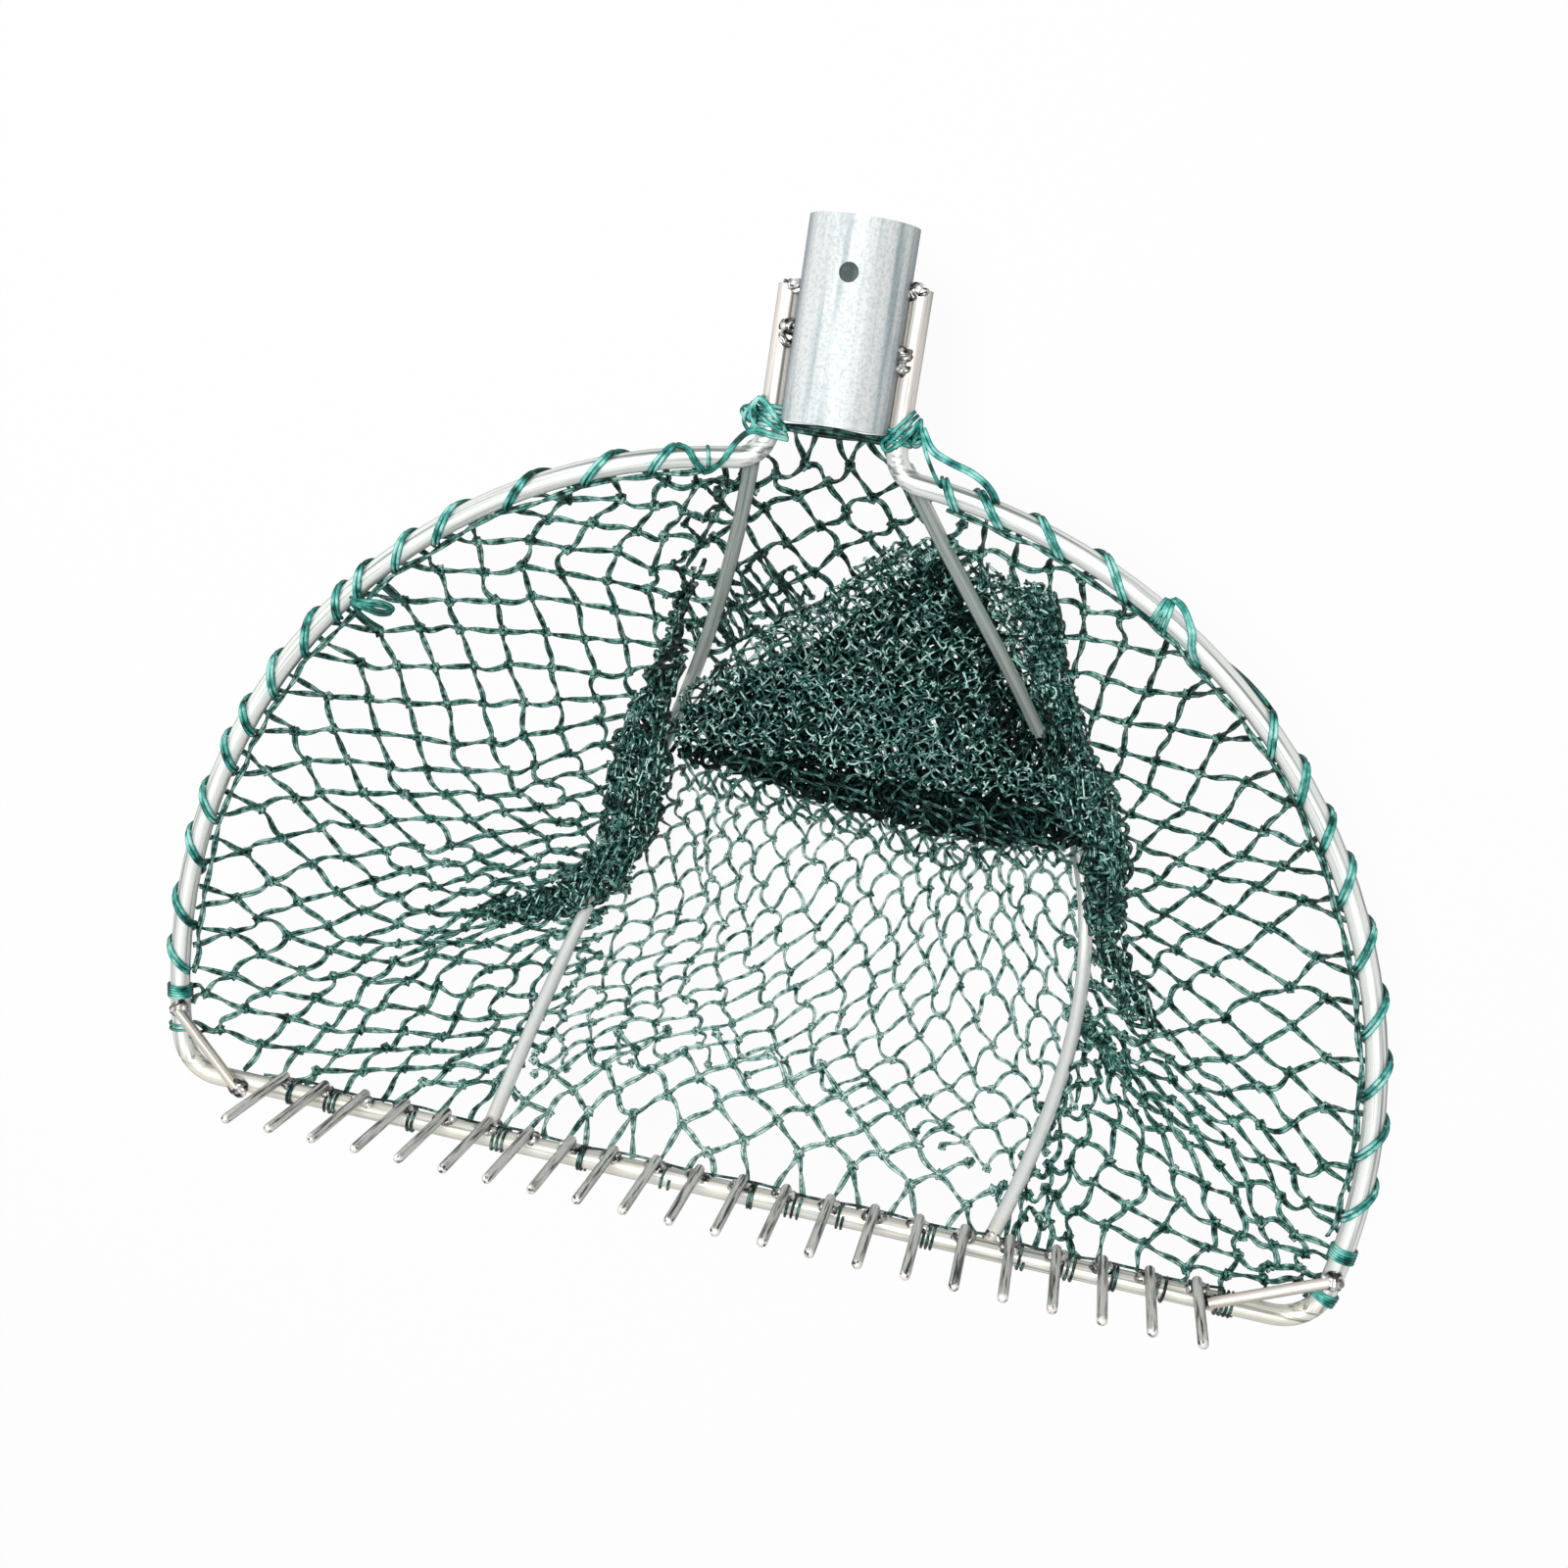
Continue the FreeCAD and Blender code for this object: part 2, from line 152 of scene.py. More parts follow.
STRIP_KNOTS = (
    (-2, 0, 1, ((520, 1109), (548, 1081))),
    (0, 0, 3, ((556, 1137), (650, 1069))),
    (2, 1, 3, ((613, 1163), (713, 1100))),
    (4, 4, 3, ((757, 1161), (860, 1119))),
    (6, 5, 3, ((838, 1208), (936, 1165))),
    (8, 7, 1, ((952, 1240), (985, 1230))),
)
TOP_KNOTS = (
    (1, 1, 2, ((795, 486), (848, 449))),
    (2, 0, 2, ((782, 515), (843, 493), (896, 456))),
    (3, 0, 2, ((806, 554), (864, 520), (923, 493))),
    (4, 0, 2, ((829, 583), (886, 547), (938, 522))),
)

# Edges of the panels of netting, round the photograph's pixels.
LEFT_EDGE = (
    (770, 430), (745, 530), (708, 640), (665, 700), (645, 800), (612, 920), (585, 965), (540, 1045),
    (500, 1135), (470, 1220), (80, 1220), (80, 380),
)
RIGHT_EDGE = (
    (925, 430), (975, 540), (1010, 600), (1060, 690), (1105, 800), (1135, 900), (1115, 960), (1108, 1050),
    (1080, 1120), (1045, 1190), (1008, 1250), (1000, 1400), (1520, 1450), (1520, 380),
)
BELLY_EDGE = (
    (612, 925), (645, 850), (685, 765), (780, 780), (870, 815), (1000, 835), (1105, 850), (1112, 950),
    (1102, 1050), (1080, 1110), (1040, 1185), (985, 1185), (940, 1145), (900, 1118), (860, 1106),
    (820, 1094), (760, 1080), (700, 1073), (650, 1066), (600, 1072), (565, 1078),
)
STRIP_EDGE = (
    (550, 1080), (600, 1074), (650, 1067), (700, 1075), (760, 1082), (820, 1096), (860, 1108), (900, 1120),
    (940, 1147), (985, 1188), (1005, 1245), (1000, 1330), (480, 1230), (500, 1135),
)
TOP_EDGE = (
    (770, 470), (795, 430), (910, 440), (935, 470), (985, 575), (900, 600), (830, 650), (760, 690),
    (705, 712), (712, 650), (728, 600), (742, 560),
)
HEAP_EDGE = (
    (684, 768), (699, 726), (750, 694), (808, 664), (860, 634), (900, 600), (935, 566), (980, 572),
    (1006, 600), (1036, 672), (1066, 744), (1120, 796), (1124, 866), (1040, 864), (1000, 862), (930, 848),
    (860, 826), (780, 800),
)
THREAD_EDGE = (
    (688, 762), (697, 705), (742, 664), (800, 630), (850, 598), (885, 568), (930, 546), (985, 556),
    (1030, 584), (1078, 610), (1094, 700), (1128, 790), (1126, 850), (1075, 826), (1020, 812), (945, 806),
    (860, 786), (760, 768),
)
CREASE_EDGE = (
    (682, 764), (760, 768), (850, 784), (945, 806), (1020, 816), (1080, 826), (1110, 850), (1088, 866),
    (1010, 862), (930, 848), (860, 826), (780, 799), (700, 780),
)
FRINGE_EDGE = (
    (690, 774), (780, 794), (860, 820), (930, 842), (1010, 858), (1100, 860), (1106, 888), (1000, 890),
    (920, 876), (840, 852), (760, 824), (690, 800),
)
VEIL_EDGE = (
    (744, 560), (780, 556), (812, 575), (850, 602), (800, 634), (742, 668), (705, 700), (712, 650),
    (728, 600),
)
TANGLE_EDGE = ((700, 500), (765, 478), (748, 545), (722, 600), (700, 640), (676, 620), (684, 560))
LEFT_FOLD_EDGE = (
    (722, 560), (700, 640), (690, 705), (688, 775), (672, 850), (640, 895), (600, 930), (540, 946),
    (470, 936), (500, 914), (560, 905), (602, 872), (614, 820), (624, 760), (650, 700), (674, 650),
    (694, 600),
)
RIGHT_FOLD_EDGE = (
    (1035, 590), (1076, 602), (1086, 640), (1094, 700), (1114, 760), (1144, 815), (1156, 870), (1152, 930),
    (1142, 960), (1172, 1010), (1184, 1060), (1150, 1046), (1120, 985), (1106, 930), (1100, 870),
    (1080, 820), (1060, 740), (1045, 660),
)

# Loose cords read off the photograph: pixel, pixel, height over the rod's middle in millimetres.
LEFT_KNOT_CORDS = (
    ((800, 446, 4), (785, 441, 6), (773, 436, 6), (766, 424, 6), (768, 412, 6), (776, 406, 6),
     (784, 414, 7), (794, 428, 6), (803, 440, 3)),
    ((803, 444, 3), (790, 436, 7), (778, 426, 7), (770, 418, 7), (772, 409, 6), (780, 404, 4)),
    ((801, 436, 4), (790, 424, 7), (780, 412, 7), (774, 405, 5)),
    ((764, 440, 4), (759, 430, 4), (761, 420, 5), (768, 415, 6), (771, 424, 7), (768, 434, 6),
     (763, 441, 4)),
    ((804, 449, 3), (790, 446, 6), (776, 442, 6), (764, 442, 6), (752, 452, 6), (738, 470, 5.5),
     (727, 480, 3), (718, 483, 0)),
    ((804, 447, 3), (788, 443, 7), (774, 439, 7), (761, 441, 6), (748, 453, 6), (735, 471, 5.5),
     (724, 479, 3)),
    ((690, 455, 2), (700, 459, 5), (708, 472, 5), (716, 482, 0)),
    ((693, 453, 2), (703, 458, 5), (711, 471, 5), (720, 481, 0)),
    ((722, 455, 2), (723, 468, 5), (722, 482, 0)),
)
RIGHT_KNOT_CORDS = (
    ((937, 424, 3), (926, 434, 6), (914, 446, 6), (903, 455, 2)),
    ((940, 428, 3), (930, 439, 6.5), (918, 451, 6.5), (907, 460, 2)),
    ((934, 420, 3), (922, 430, 6), (911, 441, 6), (901, 449, 2)),
    ((938, 432, 4), (926, 446, 6), (914, 456, 6), (904, 460, 3), (900, 452, 4), (908, 444, 6)),
    ((940, 428, 4), (941, 445, 5), (945, 463, 6), (953, 484, 6), (961, 499, 3), (964, 508, 0)),
    ((940, 440, 5), (950, 461, 6), (968, 473, 5.5), (990, 484, 5), (1005, 496, 5.5), (1013, 509, 4),
     (1016, 521, 0)),
    ((943, 437, 5), (953, 458, 6), (970, 470, 5.5), (992, 481, 5), (1008, 494, 5.5), (1017, 508, 4),
     (1020, 520, 0)),
)
LEFT_LOOSE_CORDS = (
    ((356, 611, 2), (372, 616, 1), (386, 618, 0), (397, 621, -1), (398, 626, -2), (387, 627, -2),
     (373, 622, 0), (358, 614, 2)),
    ((357, 609, 3), (374, 613, 2), (388, 614, 1), (400, 619, 0), (399, 624, -1), (386, 623, -1),
     (372, 618, 1), (357, 612, 2)),
    ((356, 613, 1), (366, 624, -1), (378, 634, -3), (390, 641, -6)),
    ((358, 615, 0), (370, 629, -2), (384, 639, -6)),
    ((362, 605, -2), (372, 598, -2), (382, 592, -3), (388, 597, -4), (398, 606, -5), (408, 612, -6),
     (414, 614, -7)),
    ((366, 604, -2), (378, 597, -3), (392, 588, -3), (402, 577, 0)),
)
RIGHT_LOOSE_CORDS = (
    ((1190, 611, 2), (1183, 620, 5), (1174, 633, 1)),
    ((1193, 612, 2), (1186, 624, 5), (1177, 637, 1)),
    ((1195, 613, 2), (1189, 626, 5), (1182, 642, 1)),
    ((1198, 614, 2), (1193, 628, 5), (1187, 648, 0)),
    ((1196, 612, 3), (1203, 617, 6), (1210, 629, 8), (1214, 645, 9), (1214, 660, 7), (1216, 671, 4),
     (1222, 680, 0), (1231, 688, -3)),
    ((1199, 611, 3), (1207, 617, 6), (1213, 629, 8), (1218, 645, 9), (1218, 660, 7), (1219, 670, 4),
     (1225, 679, 0)),
)
HEADER_CORDS = (
    ((800, 437, -1), (830, 441, -3), (865, 446, -3), (906, 452, -1)),
    ((800, 434, -2), (830, 438, -4), (865, 443, -4), (906, 449, -2)),
)

# Wraps of the lacing round the arcs: where each comes over the rod's outer edge and where it goes under its
# inner edge, in degrees round the arc.
LEFT_WRAPS = (
    (78.2, 75.6),
    (72.4, 68.8),
    (64.4, 60.6),
    (56.0, 52.4),
    (50.6, 47.4),
    (45.2, 42.4),
    (42.0, 39.4),
    (38.0, 34.2),
    (32.2, 28.6),
    (26.4, 23.8),
    (22.4, 19.4),
    (16.6, 13.4),
    (11.6, 8.4),
    (4.8, 1.6),
    (-0.6, -3.6),
)
RIGHT_WRAPS = (
    (82.0, 80.0), (78.6, 75.6), (72.8, 69.4), (66.2, 62.4), (46.2, 42.8), (40.8, 37.6), (35.8, 32.8),
    (31.2, 27.6), (24.8, 21.2), (18.4, 14.8), (12.4, 8.8), (6.4, 2.8), (0.2, -3.4),
)

# Turns of cord round the tooth bar: middle, half its run along the bar, number of turns, first angle.
BAR_LOOPS = (
    (-184.5, 1.2, 2.0, -100.0),
    (-166.0, 2.6, 2.6, 40.0),
    (-131.0, 1.5, 1.6, -60.0),
    (-93.0, 3.2, 3.0, -120.0),
    (-57.0, 1.4, 2.0, 10.0),
    (-22.0, 2.4, 1.5, -80.0),
    (13.5, 1.3, 2.0, -150.0),
    (31.0, 3.0, 2.5, -20.0),
    (50.0, 1.5, 1.6, -100.0),
    (85.5, 2.2, 2.4, 30.0),
    (122.0, 1.4, 1.5, -90.0),
    (140.0, 2.8, 2.6, -40.0),
    (158.0, 1.4, 2.0, -110.0),
    (176.0, 2.2, 1.6, 0.0),
)


def row(points: np.ndarray) -> np.ndarray:
    """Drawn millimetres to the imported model's metres."""
    return (np.asarray(points, float) + SHIFT) / 1000.0


def row_along(value: float, axis: int) -> float:
    """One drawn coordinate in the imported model's metres."""
    return (value + float(SHIFT[axis])) / 1000.0


def deselect() -> None:
    """Leaves object mode with nothing selected."""
    if bpy.context.object and bpy.context.object.mode != "OBJECT":
        bpy.ops.object.mode_set(mode="OBJECT")
    bpy.ops.object.select_all(action="DESELECT")


def unit(vectors: np.ndarray) -> np.ndarray:
    """Vectors over the last axis scaled to length 1."""
    return vectors / np.maximum(np.linalg.norm(vectors, axis=-1, keepdims=True), 1e-9)


# Materials


Socket = bpy.types.NodeSocket


class Nodes:
    """A short hand for building one material's node tree."""

    def __init__(self, name: str) -> None:
        """Starts an empty material.

        Args:
            name: the material's name.
        """
        self.material = bpy.data.materials.new(name)
        self.material.use_nodes = True
        self.tree = self.material.node_tree
        self.tree.nodes.clear()
        self.output = self.add("ShaderNodeOutputMaterial")

    def add(self, kind: str, **values: object) -> bpy.types.Node:
        """Adds a node.

        Args:
            kind: the node's type.
            values: its properties by name.

        Returns:
            The node.
        """
        node = self.tree.nodes.new(kind)
        for key, value in values.items():
            setattr(node, key, value)
        return node

    def link(self, source: Socket, target: Socket) -> None:
        """Links two sockets."""
        self.tree.links.new(source, target)

    def feed(self, target: Socket, value: object) -> None:
        """Gives a socket a link or a plain value.

        Args:
            target: the socket.
            value: another socket, or what to set.
        """
        if isinstance(value, Socket):
            self.link(value, target)
        else:
            target.default_value = value

    def group(self, tree: bpy.types.NodeTree, **inputs: object) -> Socket:
        """Places a shared node group with its own input values.

        Args:
            tree: the group.
            inputs: values or sockets by input name.

        Returns:
            The group's first output.
        """
        node = self.add("ShaderNodeGroup", node_tree=tree)
        for key, value in inputs.items():
            self.feed(node.inputs[key], value)
        return node.outputs[0]

    def ramp(self, source: Socket, stops: tuple) -> Socket:
        """A colour ramp.

        Args:
            source: the value that runs along it.
            stops: (position, colour) of each stop.

        Returns:
            The colour.
        """
        node = self.add("ShaderNodeValToRGB")
        elements = node.color_ramp.elements
        while len(elements) < len(stops):
            elements.new(0.5)
        for element, (position, colour) in zip(elements, stops):
            element.position = position
            element.color = (*colour, 1.0)
        self.link(source, node.inputs["Fac"])
        return node.outputs["Color"]

    def place(self) -> Socket:
        """The object's own coordinates."""
        return self.add("ShaderNodeTexCoord").outputs["Object"]

    def along(self, axis: int) -> Socket:
        """One of the object's own coordinates, in metres.

        Args:
            axis: 0 for X, 1 for Y, 2 for Z.

        Returns:
            The coordinate.
        """
        parts = self.add("ShaderNodeSeparateXYZ")
        self.link(self.place(), parts.inputs[0])
        return parts.outputs[axis]

    def span(self, value: Socket, limits: tuple, least: float = 0.0, most: float = 1.0,
             kind: str = "SMOOTHSTEP") -> Socket:
        """How far a value has come between two limits.

        Args:
            value: the value.
            limits: where it starts and where it ends, in either order.
            least: the result at the start.
            most: the result at the end.
            kind: SMOOTHSTEP or LINEAR.

        Returns:
            The result.
        """
        node = self.add("ShaderNodeMapRange", interpolation_type=kind)
        for key, amount in zip(("From Min", "From Max", "To Min", "To Max"), (*limits, least, most)):
            node.inputs[key].default_value = amount
        self.link(value, node.inputs["Value"])
        return node.outputs[0]

    def mix(self, share: object, first: object, second: object, blend: str = "MIX") -> Socket:
        """Two colours mixed.

        Args:
            share: the second one's share, a socket or a number.
            first: a socket or a colour.
            second: a socket or a colour.
            blend: how the second is laid over the first.

        Returns:
            The colour.
        """
        node = self.add("ShaderNodeMix", data_type="RGBA", blend_type=blend)
        for number, value in ((0, share), (6, first), (7, second)):
            self.feed(node.inputs[number], (*value, 1.0) if isinstance(value, tuple) else value)
        return node.outputs[2]

    def cloud(self, scale: float, detail: float) -> Socket:
        """Noise over the object.

        Args:
            scale: how fine it is.
            detail: how many finer layers it has.

        Returns:
            Its value.
        """
        node = self.add("ShaderNodeTexNoise")
        node.inputs["Scale"].default_value = scale
        node.inputs["Detail"].default_value = detail
        self.link(self.place(), node.inputs["Vector"])
        return node.outputs["Fac"]

    def painted_edge_shade(self, limits: tuple, most: float = 1.0) -> Socket:
        """How far the surface turns away from the eye, used as the share of a painted edge shade.

        Args:
            limits: the facing values between which it grows.
            most: the result at the very edge.

        Returns:
            The share.
        """
        facing = self.add("ShaderNodeLayerWeight")
        facing.inputs["Blend"].default_value = 0.5
        return self.span(facing.outputs["Facing"], limits, most=most)

    def bump(self, height: Socket, strength: float, distance: float) -> Socket:
        """A bumped normal.

        Args:
            height: the bumps.
            strength: how strong they are.
            distance: how high they are, in metres.

        Returns:
            The normal.
        """
        node = self.add("ShaderNodeBump")
        node.inputs["Strength"].default_value = strength
        node.inputs["Distance"].default_value = distance
        self.link(height, node.inputs["Height"])
        return node.outputs[0]

    def finish(self, **inputs: object) -> bpy.types.Material:
        """Ends the tree in a Principled shader.

        Args:
            inputs: values or sockets by input name, with _ for a space.

        Returns:
            The material.
        """
        shader = self.add("ShaderNodeBsdfPrincipled")
        for key, value in inputs.items():
            self.feed(shader.inputs[key.replace("_", " ")], value)
        self.link(shader.outputs[0], self.output.inputs["Surface"])
        return self.material


def shared_group(name: str, inputs: tuple, outputs: tuple) -> tuple:
    """An empty shader node group with its sockets.

    Args:
        name: the group's name.
        inputs: (name, socket type, default) for each input.
        outputs: (name, socket type) for each output.

    Returns:
        The tree, its input node and its output node.
    """
    tree = bpy.data.node_groups.new(name, "ShaderNodeTree")
    for label, kind, default in inputs:
        socket = tree.interface.new_socket(label, in_out="INPUT", socket_type=kind)
        if default is not None:
            socket.default_value = default
    for label, kind in outputs:
        tree.interface.new_socket(label, in_out="OUTPUT", socket_type=kind)
    return tree, tree.nodes.new("NodeGroupInput"), tree.nodes.new("NodeGroupOutput")


def math_node(tree: bpy.types.NodeTree, operation: str, a: object, b: object = 0.0) -> Socket:
    """A Math node.

    Args:
        tree: where it goes.
        operation: what it works out.
        a: its first socket or number.
        b: its second socket or number.

    Returns:
        Its result.
    """
    node = tree.nodes.new("ShaderNodeMath")
    node.operation = operation
    for socket, value in zip(node.inputs, (a, b)):
        if isinstance(value, Socket):
            tree.links.new(value, socket)
        else:
            socket.default_value = value
    return node.outputs[0]


def split(tree: bpy.types.NodeTree, vector: Socket) -> tuple:
    """A vector's X, Y and Z.

    Args:
        tree: where the node goes.
        vector: the vector's socket.

    Returns:
        Three sockets.
    """
    parts = tree.nodes.new("ShaderNodeSeparateXYZ")
    tree.links.new(vector, parts.inputs[0])
    return tuple(parts.outputs)


def join(tree: bpy.types.NodeTree, values: tuple) -> Socket:
    """A vector from its X, Y and Z.

    Args:
        tree: where the node goes.
        values: three sockets.

    Returns:
        The vector.
    """
    joined = tree.nodes.new("ShaderNodeCombineXYZ")
    for socket, value in zip(joined.inputs, values):
        tree.links.new(value, socket)
    return joined.outputs[0]


def make_streaks() -> bpy.types.NodeTree:
    """Long drawn streaks: noise squeezed across the rod and stretched along it.

    Returns:
        A group with Vector, Across and Along in, and Mask out.
    """
    tree, start, end = shared_group(
        "drawn_streaks",
        (("Vector", "NodeSocketVector", None), ("Across", "NodeSocketFloat", 900.0),
         ("Along", "NodeSocketFloat", 30.0)),
        (("Mask", "NodeSocketFloat"),))
    across, along = start.outputs["Across"], start.outputs["Along"]
    parts = split(tree, start.outputs["Vector"])
    scaled = [math_node(tree, "MULTIPLY", part, scale) for part, scale in zip(parts, (across, along, across))]
    cloud = tree.nodes.new("ShaderNodeTexNoise")
    cloud.inputs["Scale"].default_value = 1.0
    cloud.inputs["Detail"].default_value = 3.0
    tree.links.new(join(tree, scaled), cloud.inputs["Vector"])
    tree.links.new(cloud.outputs["Fac"], end.inputs["Mask"])
    return tree


def make_hoop_frame() -> bpy.types.NodeTree:
    """Coordinates that follow the hoop: across the rod, along it, and height.

    On the arcs they are the distance from the centre and the run round it. On the tooth bar and the legs
    they are plain X and Y, whichever runs along the rod.

    Returns:
        A group with Vector in (the object's metres) and Vector out.
    """
    tree, start, end = shared_group("hoop_frame", (("Vector", "NodeSocketVector", None),),
                                    (("Vector", "NodeSocketVector"),))
    place_x, place_y, place_z = split(tree, start.outputs["Vector"])
    x = math_node(tree, "SUBTRACT", math_node(tree, "ABSOLUTE", place_x), row_along(HOOP_CENTRE[0], 0))
    y = math_node(tree, "SUBTRACT", place_y, row_along(HOOP_CENTRE[1], 1))
    squares = math_node(tree, "ADD", math_node(tree, "MULTIPLY", x, x), math_node(tree, "MULTIPLY", y, y))
    far = math_node(tree, "POWER", squares, 0.5)
    run = math_node(tree, "MULTIPLY", math_node(tree, "ARCTAN2", y, x), HOOP_R / 1000.0)
    on_bar = math_node(tree, "LESS_THAN", place_y, row_along(BAR_SIDE_Y, 1))
    on_leg = math_node(tree, "GREATER_THAN", place_y, row_along(LEG_FROM_Y, 1))
    chosen = []
    for on_arc, at_bar, at_leg in ((far, place_y, place_x), (run, place_x, place_y)):
        value = on_arc
        for here, other in ((on_bar, at_bar), (on_leg, at_leg)):
            mix = tree.nodes.new("ShaderNodeMix")
            for number, source in ((0, here), (2, value), (3, other)):
                tree.links.new(source, mix.inputs[number])
            value = mix.outputs[0]
        chosen.append(value)
    tree.links.new(join(tree, (*chosen, place_z)), end.inputs["Vector"])
    return tree


def make_rib_frame() -> bpy.types.NodeTree:
    """Coordinates that follow a rib: across it, along Y, and up from its back.

    Returns:
        A group with Vector, Foot, Bow and Skew in, and Vector out.
    """
    tree, start, end = shared_group(
        "rib_frame",
        (("Vector", "NodeSocketVector", None), ("Foot", "NodeSocketFloat", 99.0),
         ("Bow", "NodeSocketFloat", 11.0), ("Skew", "NodeSocketFloat", 1.56)),
        (("Vector", "NodeSocketVector"),))
    foot, bow, skew = (start.outputs[name] for name in ("Foot", "Bow", "Skew"))
    place_x, place_y, place_z = split(tree, start.outputs["Vector"])
    y = math_node(tree, "SUBTRACT", math_node(tree, "MULTIPLY", place_y, 1000.0), float(SHIFT[1]))
    s = math_node(tree, "SUBTRACT", 1.0, math_node(tree, "DIVIDE", y, RIB_TOP[1]))
    wave = math_node(tree, "SINE", math_node(tree, "MULTIPLY", s, math.pi))
    off_middle = math_node(tree, "MULTIPLY", skew, math_node(tree, "SUBTRACT", s, 0.5))
    lean = math_node(tree, "ADD", 1.0, off_middle)
    straight = math_node(tree, "MULTIPLY", math_node(tree, "SUBTRACT", foot, RIB_TOP[0]), s)
    bowed = math_node(tree, "MULTIPLY", math_node(tree, "MULTIPLY", bow, wave), lean)
    middle = math_node(tree, "ADD", math_node(tree, "ADD", straight, bowed), RIB_TOP[0])
    out = math_node(tree, "ABSOLUTE", place_x)
    off = math_node(tree, "SUBTRACT", out, math_node(tree, "DIVIDE", middle, 1000.0))
    rise = math_node(tree, "DIVIDE", math_node(tree, "MULTIPLY", wave, RIB_DROP), 1000.0)
    up = math_node(tree, "ADD", place_z, rise)
    tree.links.new(join(tree, (off, place_y, up)), end.inputs["Vector"])
    return tree


STREAKS = make_streaks()
HOOP_FRAME = make_hoop_frame()
RIB_FRAME = make_rib_frame()


class Lie(Enum):
    """Which way a rod's streaks run."""

    HOOP = "round the hoop"
    LEFT_RIB = "down the left rib"
    RIGHT_RIB = "down the right rib"
    TOOTH = "along Z"
    BRACE = "along a corner brace"


@dataclass(frozen=True)
class RodFinish:
    """Bright drawn rod with long streaks, heat tint and fine scratches, with painted shade towards its edges;
    the streaks are partly drawn marks and partly painted reflection.
    """

    name: str
    lie: Lie
    pale: tuple = (0.88, 0.90, 0.87)
    mid: tuple = (0.64, 0.67, 0.64)
    dark: tuple = (0.26, 0.29, 0.27)
    # Colour of the painted shade towards the rod's edges, where it turns away from the eye.
    painted_edge_shade: tuple = (0.22, 0.26, 0.24)
    tint: tuple = (0.98, 0.92, 0.84)
    leg_tint: tuple = (0.86, 0.79, 0.76)
    bar_end_pale: tuple = (0.93, 0.95, 0.93)
    bright_below: float = 0.0
    tint_everywhere: float = 0.0
    roughness: float = 0.42
    metallic: float = 0.45
    stops: tuple = (0.34, 0.43, 0.50)
    across: float = 520.0
    along: float = 7.0
    shape: tuple = (99.0, 11.0, 1.56)
    brace_turn_deg: float = 0.0

    def along_rod(self, n: Nodes) -> Socket:
        """Coordinates in which Y runs along the rod.

        Args:
            n: the material's nodes.

        Returns:
            The coordinates.
        """
        if self.lie is Lie.HOOP:
            return n.group(HOOP_FRAME, Vector=n.place())
        if self.lie in (Lie.LEFT_RIB, Lie.RIGHT_RIB):
            foot, bow, skew = self.shape
            return n.group(RIB_FRAME, Vector=n.place(), Foot=foot, Bow=bow, Skew=skew)
        turn = n.add("ShaderNodeMapping")
        n.link(n.place(), turn.inputs["Vector"])
        upright = (math.radians(-90.0), 0.0, 0.0)
        level = (0.0, 0.0, math.radians(self.brace_turn_deg))
        turn.inputs["Rotation"].default_value = upright if self.lie is Lie.TOOTH else level
        return turn.outputs[0]

    def heat(self, n: Nodes) -> Socket:
        """Where the rod has been hot: the tooth bar and the rib feet.

        Args:
            n: the material's nodes.

        Returns:
            The share of heat tint.
        """
        y = math_node(n.tree, "SUBTRACT", math_node(n.tree, "MULTIPLY", n.along(1), 1000.0), float(SHIFT[1]))
        low = n.span(y, (20.0, 5.0))
        share = n.span(n.cloud(90.0, 3.0), (0.35, 0.6), least=0.45, kind="LINEAR")
        return math_node(n.tree, "MULTIPLY", math_node(n.tree, "MAXIMUM", low, self.tint_everywhere), share)

    def leg_heat(self, n: Nodes, colour: Socket) -> Socket:
        """Darkens and warms the legs, which were welded from end to end.

        Args:
            n: the material's nodes.
            colour: the rod's colour.

        Returns:
            The colour with warm legs.
        """
        high = n.span(n.along(1), (row_along(LEG_FROM_Y, 1), row_along(LEG_FROM_Y + 10.0, 1)))
        return n.mix(high, colour, self.leg_tint, "MULTIPLY")

    def near_bar(self, n: Nodes, colour: Socket) -> Socket:
        """Brightens the colour near the tooth bar.

        Args:
            n: the material's nodes.
            colour: the rod's colour.

        Returns:
            The colour with a bright foot.
        """
        if not self.bright_below:
            return colour
        limits = (row_along(self.bright_below + 25.0, 1), row_along(self.bright_below - 25.0, 1))
        return n.mix(n.span(n.along(1), limits, most=0.8), colour, self.bar_end_pale)

    def build(self) -> bpy.types.Material:
        """Makes the material.

        Returns:
            The material.
        """
        n = Nodes(self.name)
        place = self.along_rod(n)
        streak = n.group(STREAKS, Vector=place, Across=self.across, Along=self.along)
        # The streaks' darker shades are partly drawn marks and partly painted reflection of the surroundings.
        shades = (self.dark, self.mid, self.pale)
        colour = n.ramp(streak, (*zip(self.stops, shades), (1.0, self.pale)))
        # Painted shade: darker towards the rod's edges.
        edge_shaded = n.mix(n.painted_edge_shade((0.50, 0.95), 0.85), self.near_bar(n, colour), self.painted_edge_shade)
        warm = n.mix(self.heat(n), edge_shaded, self.tint, "MULTIPLY")
        grain = n.group(STREAKS, Vector=place, Across=2400.0, Along=60.0)
        rough = math_node(n.tree, "ADD", math_node(n.tree, "MULTIPLY", grain, 0.3), self.roughness - 0.13)
        return n.finish(Base_Color=self.leg_heat(n, warm), Metallic=self.metallic, Roughness=rough,
                        Normal=n.bump(grain, 0.25, 0.0004))


